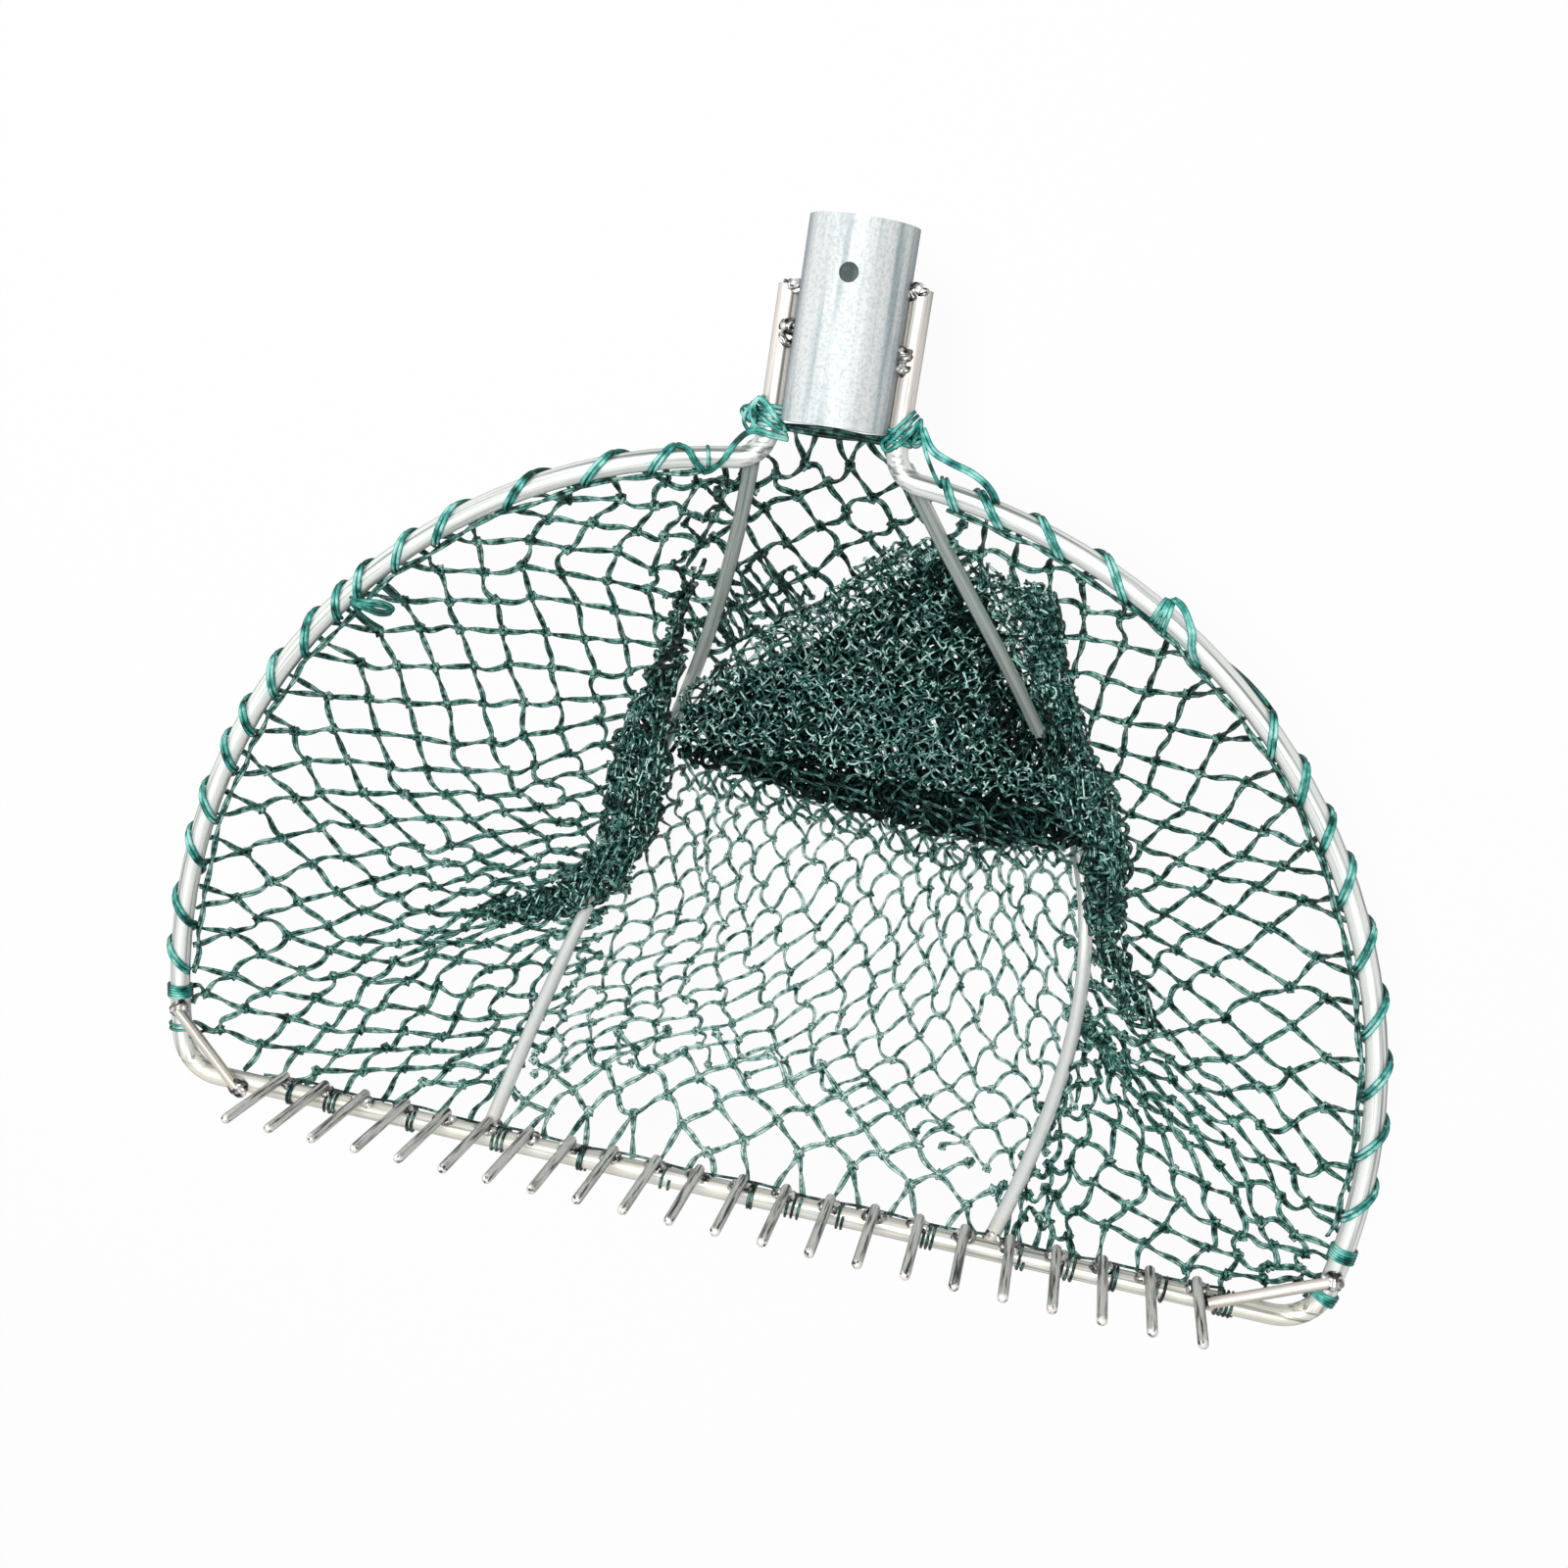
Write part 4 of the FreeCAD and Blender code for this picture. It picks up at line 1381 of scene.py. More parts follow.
@dataclass
class NetPanel:
    """One panel of single netting: knots on a warped lattice, joined by bars of slack twine."""

    name: str
    knots: tuple
    edge: tuple
    depth: Callable
    knot: float = 1.4
    bow: tuple = (0.0, 0.0)
    seed: int = 1
    bar_length: float = 15.8
    ease: float = 0.02
    margin: float = 6.0
    hoop_reach: float = 24.0
    scatter: float = 0.7
    holder: Callable = HoopLine.foot
    hook_in: float = 2.6
    selvage: tuple = ()
    twine: Twine = Twine()
    shade: Green = Green.NET
    uneven: float = 1.2
    most_drift: float = 9.0
    most_bow: float = 1.9
    most_lift: float = 5.0

    def lattice(self, chance: np.random.Generator) -> tuple:
        """The panel's knots.

        Args:
            chance: the panel's random numbers.

        Returns:
            Places of all lattice points, the lattice's shape, and which points are near a measured one.
        """
        steps, seen = [], []
        for i, first, stride, spots in self.knots:
            steps += [(i, first + stride * k) for k in range(len(spots))]
            seen += spots
        steps = np.array(steps, float)
        measured = VIEW.places(np.array(seen, float), self.depth)
        warp = Warp(steps, measured, self.ease)
        low, high = steps.min(axis=0) - self.margin, steps.max(axis=0) + self.margin
        lines, columns = (np.arange(a, b + 1) for a, b in zip(low, high))
        grid_i, grid_j = np.meshgrid(lines, columns, indexing="ij")
        grid = np.stack([grid_i.ravel(), grid_j.ravel()], -1)
        near = np.min(np.linalg.norm(grid[:, None, :] - steps[None], axis=-1), axis=1) <= self.margin
        spots = warp(grid)
        spots[:, :2] += chance.normal(0.0, self.scatter, (len(spots), 2))
        spots[:, 2] = self.depth(spots) + chance.normal(0.0, self.uneven, len(spots))
        spots[:, 2] = np.clip(spots[:, 2], TWINE_LIE_Z, NET_TOP_Z)
        return spots, grid_i.shape, near

    def build(self, material: bpy.types.Material) -> bpy.types.Object:
        """Makes the panel's piece.

        Args:
            material: the twine's finish.

        Returns:
            The piece.
        """
        chance = np.random.default_rng(self.seed)
        spots, shape, near = self.lattice(chance)
        _, _, inward = self.holder(spots)
        in_ring = (inward > RING_CLEARANCE) & (spots[:, 1] < NET_TOP_Y)
        core = inside(VIEW.pixels(spots), np.array(self.edge, float)) & near & in_ring
        number = np.arange(len(spots)).reshape(shape)
        pairs = neighbours(number)
        kind = np.concatenate([np.zeros(number[:-1].size, int), np.ones(number[:, :-1].size, int)])
        held = core.copy()
        for a, b in (pairs.T, pairs.T[::-1]):
            held[b[core[a]]] = True
        held &= near & in_ring
        touching = core[pairs].any(axis=1)
        keep = held[pairs].all(axis=1) & touching
        edge = (core[pairs[:, 0]] != core[pairs[:, 1]]) & ~in_ring[pairs].all(axis=1)
        starts, ends = spots[pairs[:, 0]].copy(), spots[pairs[:, 1]].copy()
        flip = edge & core[pairs[:, 1]]
        starts[flip], ends[flip] = ends[flip].copy(), starts[flip].copy()
        feet, out, gap = self.holder(starts)
        tied = edge & (gap < self.hoop_reach)
        ends[tied] = self.hooks(feet[tied], out[tied], ends[tied] - starts[tied])
        keep |= tied
        starts, ends, kind, tied = starts[keep], ends[keep], kind[keep], tied[keep]
        parts = MeshParts()
        runs = self.bars(starts, ends, kind, chance, np.where(tied, 0.35, 1.0))
        self.twine.wind(parts, runs, chance.uniform(0, 2 * np.pi, len(starts)))
        if self.selvage:
            self.edge_cord(parts, chance)
        knots = spots[held]
        turns, tilts = chance.uniform(0, 2 * np.pi, len(knots)), chance.normal(0, 0.35, (len(knots), 2))
        KnotShape(self.knot, KNOT_CORD * self.knot).tie(parts, knots, turns, tilts)
        log.info("%s: %d knots, %d bars", self.name, len(knots), len(starts))
        return parts.build(self.name, material)

    def hooks(self, feet: np.ndarray, out: np.ndarray, pull: np.ndarray) -> np.ndarray:
        """Where bars are caught under the rod, drawn along it towards the nearest lashing.

        Args:
            feet: (n, 3) nearest places on the rod's line.
            out: (n, 2) flat directions to the rod.
            pull: (n, 3) the way the bars run.

        Returns:
            (n, 3) places just inside and under the rod.
        """
        along = np.stack([-out[:, 1], out[:, 0]], -1)
        drift = np.clip((pull[:, :2] * along).sum(axis=1) * 0.5, -self.most_drift, self.most_drift)
        moved = feet.copy()
        moved[:, :2] += along * drift[:, None]
        moved, out, _ = self.holder(moved)
        moved[:, :2] -= out * self.hook_in
        moved[:, 2] -= ROD_R + 0.6
        return moved

    def edge_cord(self, parts: MeshParts, chance: np.random.Generator) -> None:
        """Winds the net's edge twine along the inner side of the rod.

        Args:
            parts: what to add to.
            chance: the panel's random numbers.
        """
        side, start_deg, end_deg = self.selvage
        degrees = np.linspace(start_deg, end_deg, 160)
        slack = chance.uniform(0.0, 1.0, 40)
        sway = np.interp(degrees[::-1], np.linspace(end_deg, start_deg, len(slack)), slack)[::-1]
        line = HoopLine.on_arc(side, degrees, HOOP_R - ROD_R - 0.9 - 1.6 * sway, -1.8 - 2.4 * sway)
        self.twine.wind(parts, line[None], np.zeros(1))

    def bars(self, starts: np.ndarray, ends: np.ndarray, kind: np.ndarray, chance: np.random.Generator,
             looseness: np.ndarray, steps: int = 9) -> np.ndarray:
        """Runs of twine between pairs of points, bowed by their slack.

        Args:
            starts: (n, 3) first ends.
            ends: (n, 3) second ends.
            kind: 0 for a bar of the first family, 1 for the second.
            chance: the panel's random numbers.
            looseness: (n,) share of its slack each run shows.
            steps: points along each run.

        Returns:
            (n, steps, 3) points.
        """
        chord = ends - starts
        span = np.linalg.norm(chord, axis=1)
        slack = np.clip(self.bar_length - span, 0.0, None)
        depth = np.sqrt(3.0 * span * slack / 8.0) * looseness
        flat = np.minimum(depth, self.most_bow)
        drop = np.sqrt(np.maximum(depth ** 2 - flat ** 2, 0.0))
        level = unit(np.cross(chord, np.array([0.0, 0.0, 1.0])))
        lean = np.array(self.bow)[kind]
        sign = np.where(chance.uniform(-1, 1, len(starts)) + lean * 1.5 > 0, 1.0, -1.0)
        sign *= np.where(level[:, 1] < 0, -1.0, 1.0)
        t = np.linspace(0.0, 1.0, steps)
        arch = np.sin(np.pi * t)[None, :, None]
        wave = np.sin(2.0 * np.pi * t)[None, :, None]
        runs = starts[:, None, :] + chord[:, None, :] * t[None, :, None]
        runs = runs + arch * (sign * flat)[:, None, None] * level[:, None, :]
        runs = runs + wave * chance.normal(0, 0.4, (len(starts), 1, 1)) * level[:, None, :]
        lift = np.minimum(drop, self.most_lift) * np.where(chance.uniform(0, 1, len(starts)) < 0.5, 1.0, -1.0)
        runs[:, :, 2] += np.sin(np.pi * t)[None, :] * lift[:, None]
        runs[:, :, 2] = np.maximum(runs[:, :, 2], TWINE_LIE_Z)
        return runs


@dataclass
class CrumpledLayer:
    """A layer of gathered netting: knots drawn close together, so that the twine between them curls."""

    name: str
    edge: tuple
    height: tuple
    swell: float = 6.0
    pitch: tuple = (5.4, 5.4)
    turn_deg: float = 25.0
    seed: int = 5
    bar_length: float = 9.5
    jitter: float = 0.3
    steps: int = 6
    bow: float = 3.2
    knot: float = 1.25
    knot_steps: int = 14
    twine: Twine = Twine(strand_r=0.60, sides=4, lay=14.0)
    shade: Green = Green.NET
    uneven: float = 1.5

    def depth(self, places: np.ndarray) -> np.ndarray:
        """The layer's height: a slope between its two given heights, with folds, resting on the bag.

        Args:
            places: (n, 3) drawn millimetres.

        Returns:
            (n,) heights.
        """
        (y_low, z_low), (y_high, z_high) = self.height
        slope = z_low + (z_high - z_low) * np.clip((places[:, 1] - y_low) / (y_high - y_low), 0.0, 1.0)
        wide = np.sin(places[:, 0] * 0.11 + self.seed)
        narrow = np.sin(places[:, 0] * 0.047 + places[:, 1] * 0.09 + 2.0 * self.seed)
        height = slope + 0.5 * self.swell * (wide + narrow)
        rib_x, rib_z = rib_line(np.where(places[:, 0] < 0, -1.0, 1.0), places[:, 1])
        bag = np.where(np.abs(places[:, 0]) > np.abs(rib_x), side_depth(places), top_depth(places))
        on_bag = bag + LAYER_STEP * max(self.height[1][1] - LOWEST_LAYER, 0.0)
        height = np.maximum(height, on_bag)
        beside = ease_between(np.abs(places[:, 0] - rib_x), *RIB_GROOVE)
        over_rib = 1.0 - ease_between(places[:, 1], RIB_BARE_ABOVE - RIB_BARE_EASE,
                                      RIB_BARE_ABOVE + RIB_BARE_EASE)
        drop = np.maximum(height - (rib_z - NET_UNDER_RIB), 0.0) * (1.0 - np.maximum(beside, over_rib))
        return np.clip(height - drop, TWINE_LIE_Z, LAYER_TOP_Z)

    def build(self, material: bpy.types.Material) -> bpy.types.Object:
        """Makes the layer's piece.

        Args:
            material: the twine's finish.

        Returns:
            The piece.
        """
        chance = np.random.default_rng(self.seed)
        outline = VIEW.places(np.array(self.edge, float), self.depth)[:, :2]
        low, high = outline.min(axis=0) - 15, outline.max(axis=0) + 15
        size = int(np.hypot(*(high - low)) / min(self.pitch) / 2) + 3
        i, j = np.meshgrid(np.arange(-size, size), np.arange(-size, size), indexing="ij")
        a = math.radians(self.turn_deg)
        middle = (low + high) / 2.0
        u, v = i * self.pitch[0], j * self.pitch[1]
        x = middle[0] + u * math.cos(a) - v * math.sin(a)
        y = middle[1] + u * math.sin(a) + v * math.cos(a)
        spots = np.stack([x, y, 0.0 * u], -1).reshape(-1, 3)
        spots[:, :2] += chance.normal(0, 1.0, (len(spots), 2)) * np.array(self.pitch) * self.jitter
        spots[:, 2] = self.depth(spots) + chance.normal(0, self.uneven, len(spots))
        held = inside(spots[:, :2], outline)
        number = np.arange(len(spots)).reshape(i.shape)
        pairs = neighbours(number)
        pairs = pairs[held[pairs].all(axis=1)]
        starts, ends = spots[pairs[:, 0]], spots[pairs[:, 1]]
        chord = ends - starts
        span = np.linalg.norm(chord, axis=1)
        bow = np.minimum(np.sqrt(3.0 * span * np.clip(self.bar_length - span, 0, None) / 8.0), self.bow)
        level = unit(np.cross(chord, np.array([0.0, 0.0, 1.0])))
        angle = chance.uniform(0, 2 * np.pi, len(starts))
        push = np.cos(angle)[:, None] * level + np.sin(angle)[:, None] * np.array([0.0, 0.0, 1.0])
        t = np.linspace(0.0, 1.0, self.steps)
        runs = starts[:, None, :] + chord[:, None, :] * t[None, :, None]
        runs = runs + np.sin(np.pi * t)[None, :, None] * bow[:, None, None] * push[:, None, :]
        runs[:, :, 2] = np.maximum(runs[:, :, 2], TWINE_LIE_Z)
        parts = MeshParts()
        self.twine.wind(parts, runs, chance.uniform(0, 2 * np.pi, len(starts)))
        knots = spots[held]
        if self.knot > 0.0:
            turns, tilts = chance.uniform(0, 2 * np.pi, len(knots)), chance.normal(0, 0.7, (len(knots), 2))
            KnotShape(self.knot, KNOT_CORD * self.knot, self.knot_steps).tie(parts, knots, turns, tilts)
        log.info("%s: %d knots, %d bars", self.name, len(knots), len(starts))
        return parts.build(self.name, material)


def seen_run(run: tuple) -> np.ndarray:
    """A smooth path through places seen in the photograph.

    Args:
        run: (pixel, pixel, height) of each place.

    Returns:
        (n, 3) drawn millimetres.
    """
    places = []
    for x, y, height in run:
        spot = np.array([[x, y]], float)
        places.append(VIEW.places(spot, lambda found, z=height: np.full(len(found), float(z)))[0])
    return smooth_path(np.array(places), 8 * len(run))


@dataclass
class HoopLacing:
    """The doubled cord that laces the net to one side of the hoop.

    Each wrap is the angle where it comes over the rod's outer edge and the angle where it goes under its
    inner edge, in degrees round the hoop's arc.
    """

    side: int
    name: str
    node: str
    wraps: tuple
    runs: tuple = ()
    cord: Twine = Twine(strand_r=0.78, strands=1, sides=8)
    gap: float = 1.75
    stand_off: float = 0.95
    shade: Green = Green.LACE
    slot: str = "lacing_cord"

    def line(self, chance: np.random.Generator, steps: int = 30) -> tuple:
        """The cord's middle line.

        Args:
            chance: random numbers for its slack.
            steps: points for each wrap.

        Returns:
            The line and the rod's centre line beside it.
        """
        outer = np.array([wrap[0] for wrap in self.wraps])
        inner = np.array([wrap[1] for wrap in self.wraps])
        degrees, spins, looseness = [], [], []
        for k in range(len(self.wraps)):
            half = np.linspace(0.0, 1.0, steps // 2, endpoint=False)
            degrees.append(outer[k] + (inner[k] - outer[k]) * ease_between(half, 0.0, 1.0))
            spins.append(np.pi * half)
            looseness.append(np.full(len(half), chance.uniform(0.0, 0.5)))
            if k + 1 < len(self.wraps):
                degrees.append(inner[k] + (outer[k + 1] - inner[k]) * half)
                spins.append(np.pi + np.pi * half)
                looseness.append(np.zeros(len(half)))
        degrees, spins, looseness = (np.concatenate(part) for part in (degrees, spins, looseness))
        reach = ROD_R + self.stand_off + looseness * np.maximum(np.sin(spins), 0.0)
        line = HoopLine.on_arc(self.side, degrees, HOOP_R + reach * np.cos(spins), reach * np.sin(spins))
        rod = HoopLine.on_arc(self.side, degrees, np.full(len(degrees), HOOP_R), 0.0 * degrees)
        return line, rod

    def build(self, material: bpy.types.Material) -> bpy.types.Object:
        """Makes the lacing's piece.

        Args:
            material: the cord's finish.

        Returns:
            The piece.
        """
        chance = np.random.default_rng(40 + self.side)
        line, rod = self.line(chance)
        ahead = unit(np.gradient(line, axis=0))
        out = unit(line - rod)
        beside = unit(np.cross(ahead, out))
        parts = MeshParts()
        for half in (-0.5, 0.5):
            path = line + beside * self.gap * half
            self.cord.wind(parts, path[None], np.array([half]), out[None])
        for run in self.runs:
            self.cord.wind(parts, seen_run(run)[None], np.zeros(1))
        return parts.build(self.name, material)


def smooth_path(places: np.ndarray, count: int) -> np.ndarray:
    """An even path through places (a Catmull-Rom curve).

    Args:
        places: (n, 3) places to pass through.
        count: how many points to return.

    Returns:
        (count, 3) points, evenly spaced.
    """
    ends = np.concatenate([2 * places[:1] - places[1:2], places, 2 * places[-1:] - places[-2:-1]])
    t = np.linspace(0.0, 1.0, 12, endpoint=False)[:, None]
    pieces = []
    for a, b, c, d in zip(ends[:-3], ends[1:-2], ends[2:-1], ends[3:]):
        curve = (2 * b + (c - a) * t + (2 * a - 5 * b + 4 * c - d) * t ** 2
                 + (3 * b - a - 3 * c + d) * t ** 3)
        pieces.append(0.5 * curve)
    fine = np.concatenate(pieces + [places[-1:]])
    run = np.concatenate([[0.0], np.cumsum(np.linalg.norm(np.diff(fine, axis=0), axis=1))])
    even = np.linspace(0.0, run[-1], count)
    return np.stack([np.interp(even, run, fine[:, k]) for k in range(3)], -1)


def coil(line: np.ndarray, radius: float, turns: float, start_deg: float = 0.0, steps: int = 22) -> tuple:
    """A cord's path wound round a line that lies in the mouth's plane.

    Args:
        line: (n, 3) the middle of what it is wound round.
        radius: how far from the line the cord's middle lies.
        turns: how many times round.
        start_deg: where the first turn starts.
        steps: points for each turn.

    Returns:
        The path, and the directions out from the line.
    """
    count = max(int(abs(turns) * steps), 4)
    middle = smooth_path(line, count)
    ahead = unit(np.gradient(middle, axis=0))
    side = unit(np.cross(ahead, np.array([0.0, 0.0, 1.0])))
    up = np.cross(side, ahead)
    angle = math.radians(start_deg) + 2.0 * np.pi * turns * np.linspace(0.0, 1.0, count)
    out = np.cos(angle)[:, None] * side + np.sin(angle)[:, None] * up
    return middle + radius * out, out


@dataclass
class CordWork:
    """Cords that are wound, tied or run in one piece.

    Each cord is a list of places, or a coil of (line, radius, turns, first angle).
    """

    name: str
    node: str
    coils: tuple = ()
    runs: tuple = ()
    seen_runs: tuple = ()
    knots: tuple = ()
    cord: Twine = Twine(strand_r=0.72, strands=1, sides=8)
    knot_size: float = 2.6
    shade: Green = Green.LACE
    slot: str = "lacing_cord"

    def build(self, material: bpy.types.Material) -> bpy.types.Object:
        """Makes the piece.

        Args:
            material: the cord's finish.

        Returns:
            The piece.
        """
        chance = np.random.default_rng(len(self.name))
        parts = MeshParts()
        for line, radius, turns, start_deg in self.coils:
            path, out = coil(np.array(line, float), radius, turns, start_deg)
            self.cord.wind(parts, path[None], np.zeros(1), out[None])
        for places in self.runs:
            self.cord.wind(parts, smooth_path(np.array(places, float), 14 * len(places))[None], np.zeros(1))
        for run in self.seen_runs:
            self.cord.wind(parts, seen_run(run)[None], np.zeros(1))
        for place in self.knots:
            tangle = KnotShape(radius=self.knot_size, cord_r=0.85, steps=40, sides=6)
            turns = chance.uniform(0, 2 * np.pi, 2)
            spots = np.array([place, place], float) + chance.normal(0, 0.5, (2, 3))
            tangle.tie(parts, spots, turns, chance.normal(0, 0.9, (2, 2)))
        return parts.build(self.name, material)


@dataclass(frozen=True)
class Lump:
    """One puddle of weld: its middle and half sizes in drawn millimetres, and its turn about Z."""

    place: tuple
    half: tuple
    turn_deg: float = 0.0


@dataclass(frozen=True)
class WeldBead:
    """A bead of weld metal: a few puddles over a joint."""

    name: str
    node: str
    seed: int
    lumps: tuple
    ripple_m: float = 0.00022
    uneven_m: float = 0.0009

    def puddle(self, shape: Lump, seed: int) -> bpy.types.Object:
        """One lump, rippled as it froze.

        Args:
            shape: where it lies, how large it is and how it is turned.
            seed: turns the ripples.

        Returns:
            The lump.
        """
        deselect()
        bpy.ops.mesh.primitive_ico_sphere_add(subdivisions=4, radius=1.0, location=(0, 0, 0))
        lump = bpy.context.object
        lump.name = self.name
        bpy.ops.object.mode_set(mode="EDIT")
        bpy.ops.mesh.select_all(action="SELECT")
        bpy.ops.transform.resize(value=[half / 1000.0 for half in shape.half])
        bpy.ops.object.mode_set(mode="OBJECT")
        turn = Matrix.Rotation(math.radians(shape.turn_deg), 4, "Z")
        lump.data.transform(Matrix.Translation(row(shape.place)) @ turn)
        for vertex in lump.data.vertices:
            spot = vertex.co * 1000.0
            ripple = math.sin(spot.dot(Vector((math.cos(seed), math.sin(seed), 0.3))) * 3.2)
            uneven = noise.noise(spot * 0.45 + Vector((seed * 7.7, 0, 0)))
            vertex.co += vertex.normal * (self.ripple_m * ripple + self.uneven_m * uneven)
        bpy.ops.object.shade_smooth()
        return lump

    def build(self, material: bpy.types.Material) -> bpy.types.Object:
        """Makes the bead's piece.

        Args:
            material: the weld's finish.

        Returns:
            The piece.
        """
        lumps = [self.puddle(shape, self.seed + k) for k, shape in enumerate(self.lumps)]
        deselect()
        for lump in lumps:
            lump.select_set(True)
        bpy.context.view_layer.objects.active = lumps[0]
        if len(lumps) > 1:
            bpy.ops.object.join()
        bead = bpy.context.object
        bead.name = self.name
        bead.data.materials.append(material)
        return bead


# Scene


def hand_over(piece: bpy.types.Object, node: str, slot: str) -> None:
    """Says which body a piece rides and which CAD node it stands for, and hides that node.

    Args:
        piece: the piece.
        node: the CAD node's name.
        slot: the material slot's name; not used.
    """
    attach(piece, ROOT)
    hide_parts(node)
    log.info("%s: %s", node, piece.name)


@dataclass(frozen=True)
class Studio:
    """The camera at the photograph's viewing angle, a pale floor and soft light."""

    floor_size: float = 8.0
    floor_grey: float = 0.9
    floor_glow: float = 0.93
    ambient: float = 0.22
    mirrored: float = 0.7
    aim: tuple = (0.0, 0.0, 0.06)
    lamps: tuple = (("key", (0.0, 0.25, 1.75), 0.55, 22.0), ("left_fill", (-1.2, 0.5, 1.0), 0.8, 5.0))

    def make_camera(self) -> None:
        """Places the camera."""
        data = bpy.data.cameras.new("camera")
        data.sensor_width = SENSOR
        data.lens = PHOTO_LENS
        camera = bpy.data.objects.new("camera", data)
        turn = Matrix((Vector(PHOTO_RIGHT), -Vector(PHOTO_DOWN), -Vector(PHOTO_AHEAD))).transposed()
        camera.matrix_world = Matrix.Translation(row(PHOTO_EYE)) @ turn.to_4x4()
        bpy.context.scene.collection.objects.link(camera)
        bpy.context.scene.camera = camera

    def make_floor(self) -> None:
        """Lays the floor, which the camera and the metal see as near white and which keeps its shadow."""
        deselect()
        bpy.ops.mesh.primitive_plane_add(size=self.floor_size, location=(0, 0, 0))
        floor = bpy.context.object
        floor.name = "floor"
        n = Nodes("floor_white")
        shade = n.add("ShaderNodeBsdfDiffuse")
        shade.inputs["Color"].default_value = (self.floor_grey, self.floor_grey, self.floor_grey, 1.0)
        glow = n.add("ShaderNodeEmission")
        glow.inputs["Strength"].default_value = 1.0
        seen = n.add("ShaderNodeLightPath")
        mix = n.add("ShaderNodeMixShader")
        direct = math_node(n.tree, "MAXIMUM", seen.outputs["Is Camera Ray"], seen.outputs["Is Glossy Ray"])
        n.link(math_node(n.tree, "MULTIPLY", direct, self.floor_glow), mix.inputs[0])
        n.link(shade.outputs[0], mix.inputs[1])
        n.link(glow.outputs[0], mix.inputs[2])
        n.link(mix.outputs[0], n.output.inputs["Surface"])
        floor.data.materials.append(n.material)

    def make_world(self) -> None:
        """Makes the world: white to the camera, paler to the metal and dim as light on the object."""
        world = bpy.data.worlds.new("studio")
        bpy.context.scene.world = world
        world.use_nodes = True
        tree = world.node_tree
        background = tree.nodes["Background"]
        background.inputs["Color"].default_value = (1.0, 1.0, 1.0, 1.0)
        path = tree.nodes.new("ShaderNodeLightPath")
        seen = math_node(tree, "MAXIMUM", path.outputs["Is Camera Ray"], path.outputs["Is Transmission Ray"])
        mirrored = math_node(tree, "MULTIPLY", path.outputs["Is Glossy Ray"], self.mirrored)
        seen = math_node(tree, "MAXIMUM", seen, mirrored)
        tree.links.new(math_node(tree, "MAXIMUM", seen, self.ambient), background.inputs["Strength"])

    def make_lamp(self, name: str, place: tuple, size: float, power: float) -> None:
        """Hangs a square soft light aimed at the middle of the object.

        Args:
            name: the lamp's name.
            place: where it hangs, in metres.
            size: its side.
            power: its power in watts.
        """
        data = bpy.data.lights.new(name, "AREA")
        data.size = size
        data.energy = power
        lamp = bpy.data.objects.new(name, data)
        lamp.location = place
        lamp.rotation_euler = (Vector(self.aim) - Vector(place)).to_track_quat("-Z", "Y").to_euler()
        bpy.context.scene.collection.objects.link(lamp)

    def build(self) -> None:
        """Sets up the studio."""
        self.make_camera()
        self.make_floor()
        self.make_world()
        for lamp in self.lamps:
            self.make_lamp(*lamp)
        bpy.context.scene.view_settings.view_transform = "Standard"
        log.info("studio: camera, floor, world and %d lamps", len(self.lamps))


class SteelFrame:
    """The rods, teeth and socket, which keep their CAD shapes and get their finishes here."""

    BRACE = dict(pale=(0.86, 0.82, 0.78), mid=(0.62, 0.58, 0.53), tint_everywhere=0.5)
    RIB = dict(pale=(0.60, 0.65, 0.62), mid=(0.40, 0.46, 0.43), dark=(0.18, 0.22, 0.20), along=4.0,
               bright_below=125.0)
    TOOTH = dict(pale=(0.95, 0.95, 0.94), mid=(0.62, 0.62, 0.60), dark=(0.05, 0.05, 0.05), metallic=0.35,
                 stops=(0.37, 0.45, 0.53), across=800.0, along=45.0, tint=(0.98, 0.95, 0.90))

    def rib(self, side: int, name: str, lie: Lie) -> bpy.types.Material:
        """Makes one rib's finish.

        Args:
            side: -1 for the left rib, 1 for the right.
            name: the finish's name.
            lie: which way its streaks run.

        Returns:
            The material.
        """
        reach, bow, skew = RIB_REACH[side]
        return RodFinish(name, lie, shape=(RIB_TOP[0] + reach, bow, skew), **self.RIB).build()

    def dress(self) -> None:
        """Gives every carried-over CAD node its finish."""
        left_brace = RodFinish("left_brace_rod", Lie.BRACE, brace_turn_deg=134.0, **self.BRACE)
        right_brace = RodFinish("right_brace_rod", Lie.BRACE, brace_turn_deg=65.0, **self.BRACE)
        finishes = {
            "hoop": RodFinish("bright_hoop_rod", Lie.HOOP).build(),
            "left_rib": self.rib(-1, "left_rib_rod", Lie.LEFT_RIB),
            "right_rib": self.rib(1, "right_rib_rod", Lie.RIGHT_RIB),
            "left_corner_brace": left_brace.build(),
            "right_corner_brace": right_brace.build(),
            "socket_tube": GalvanisedFinish().build(),
        }
        tooth = RodFinish("tooth_rod", Lie.TOOTH, **self.TOOTH).build()
        for name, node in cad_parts.items():
            finish = finishes.get(name)
            if name.startswith("tooth_") and name != "tooth_welds":
                finish = tooth
            if finish:
                node.data.materials.clear()
                node.data.materials.append(finish)
                log.info("%s: %s", name, finish.name)


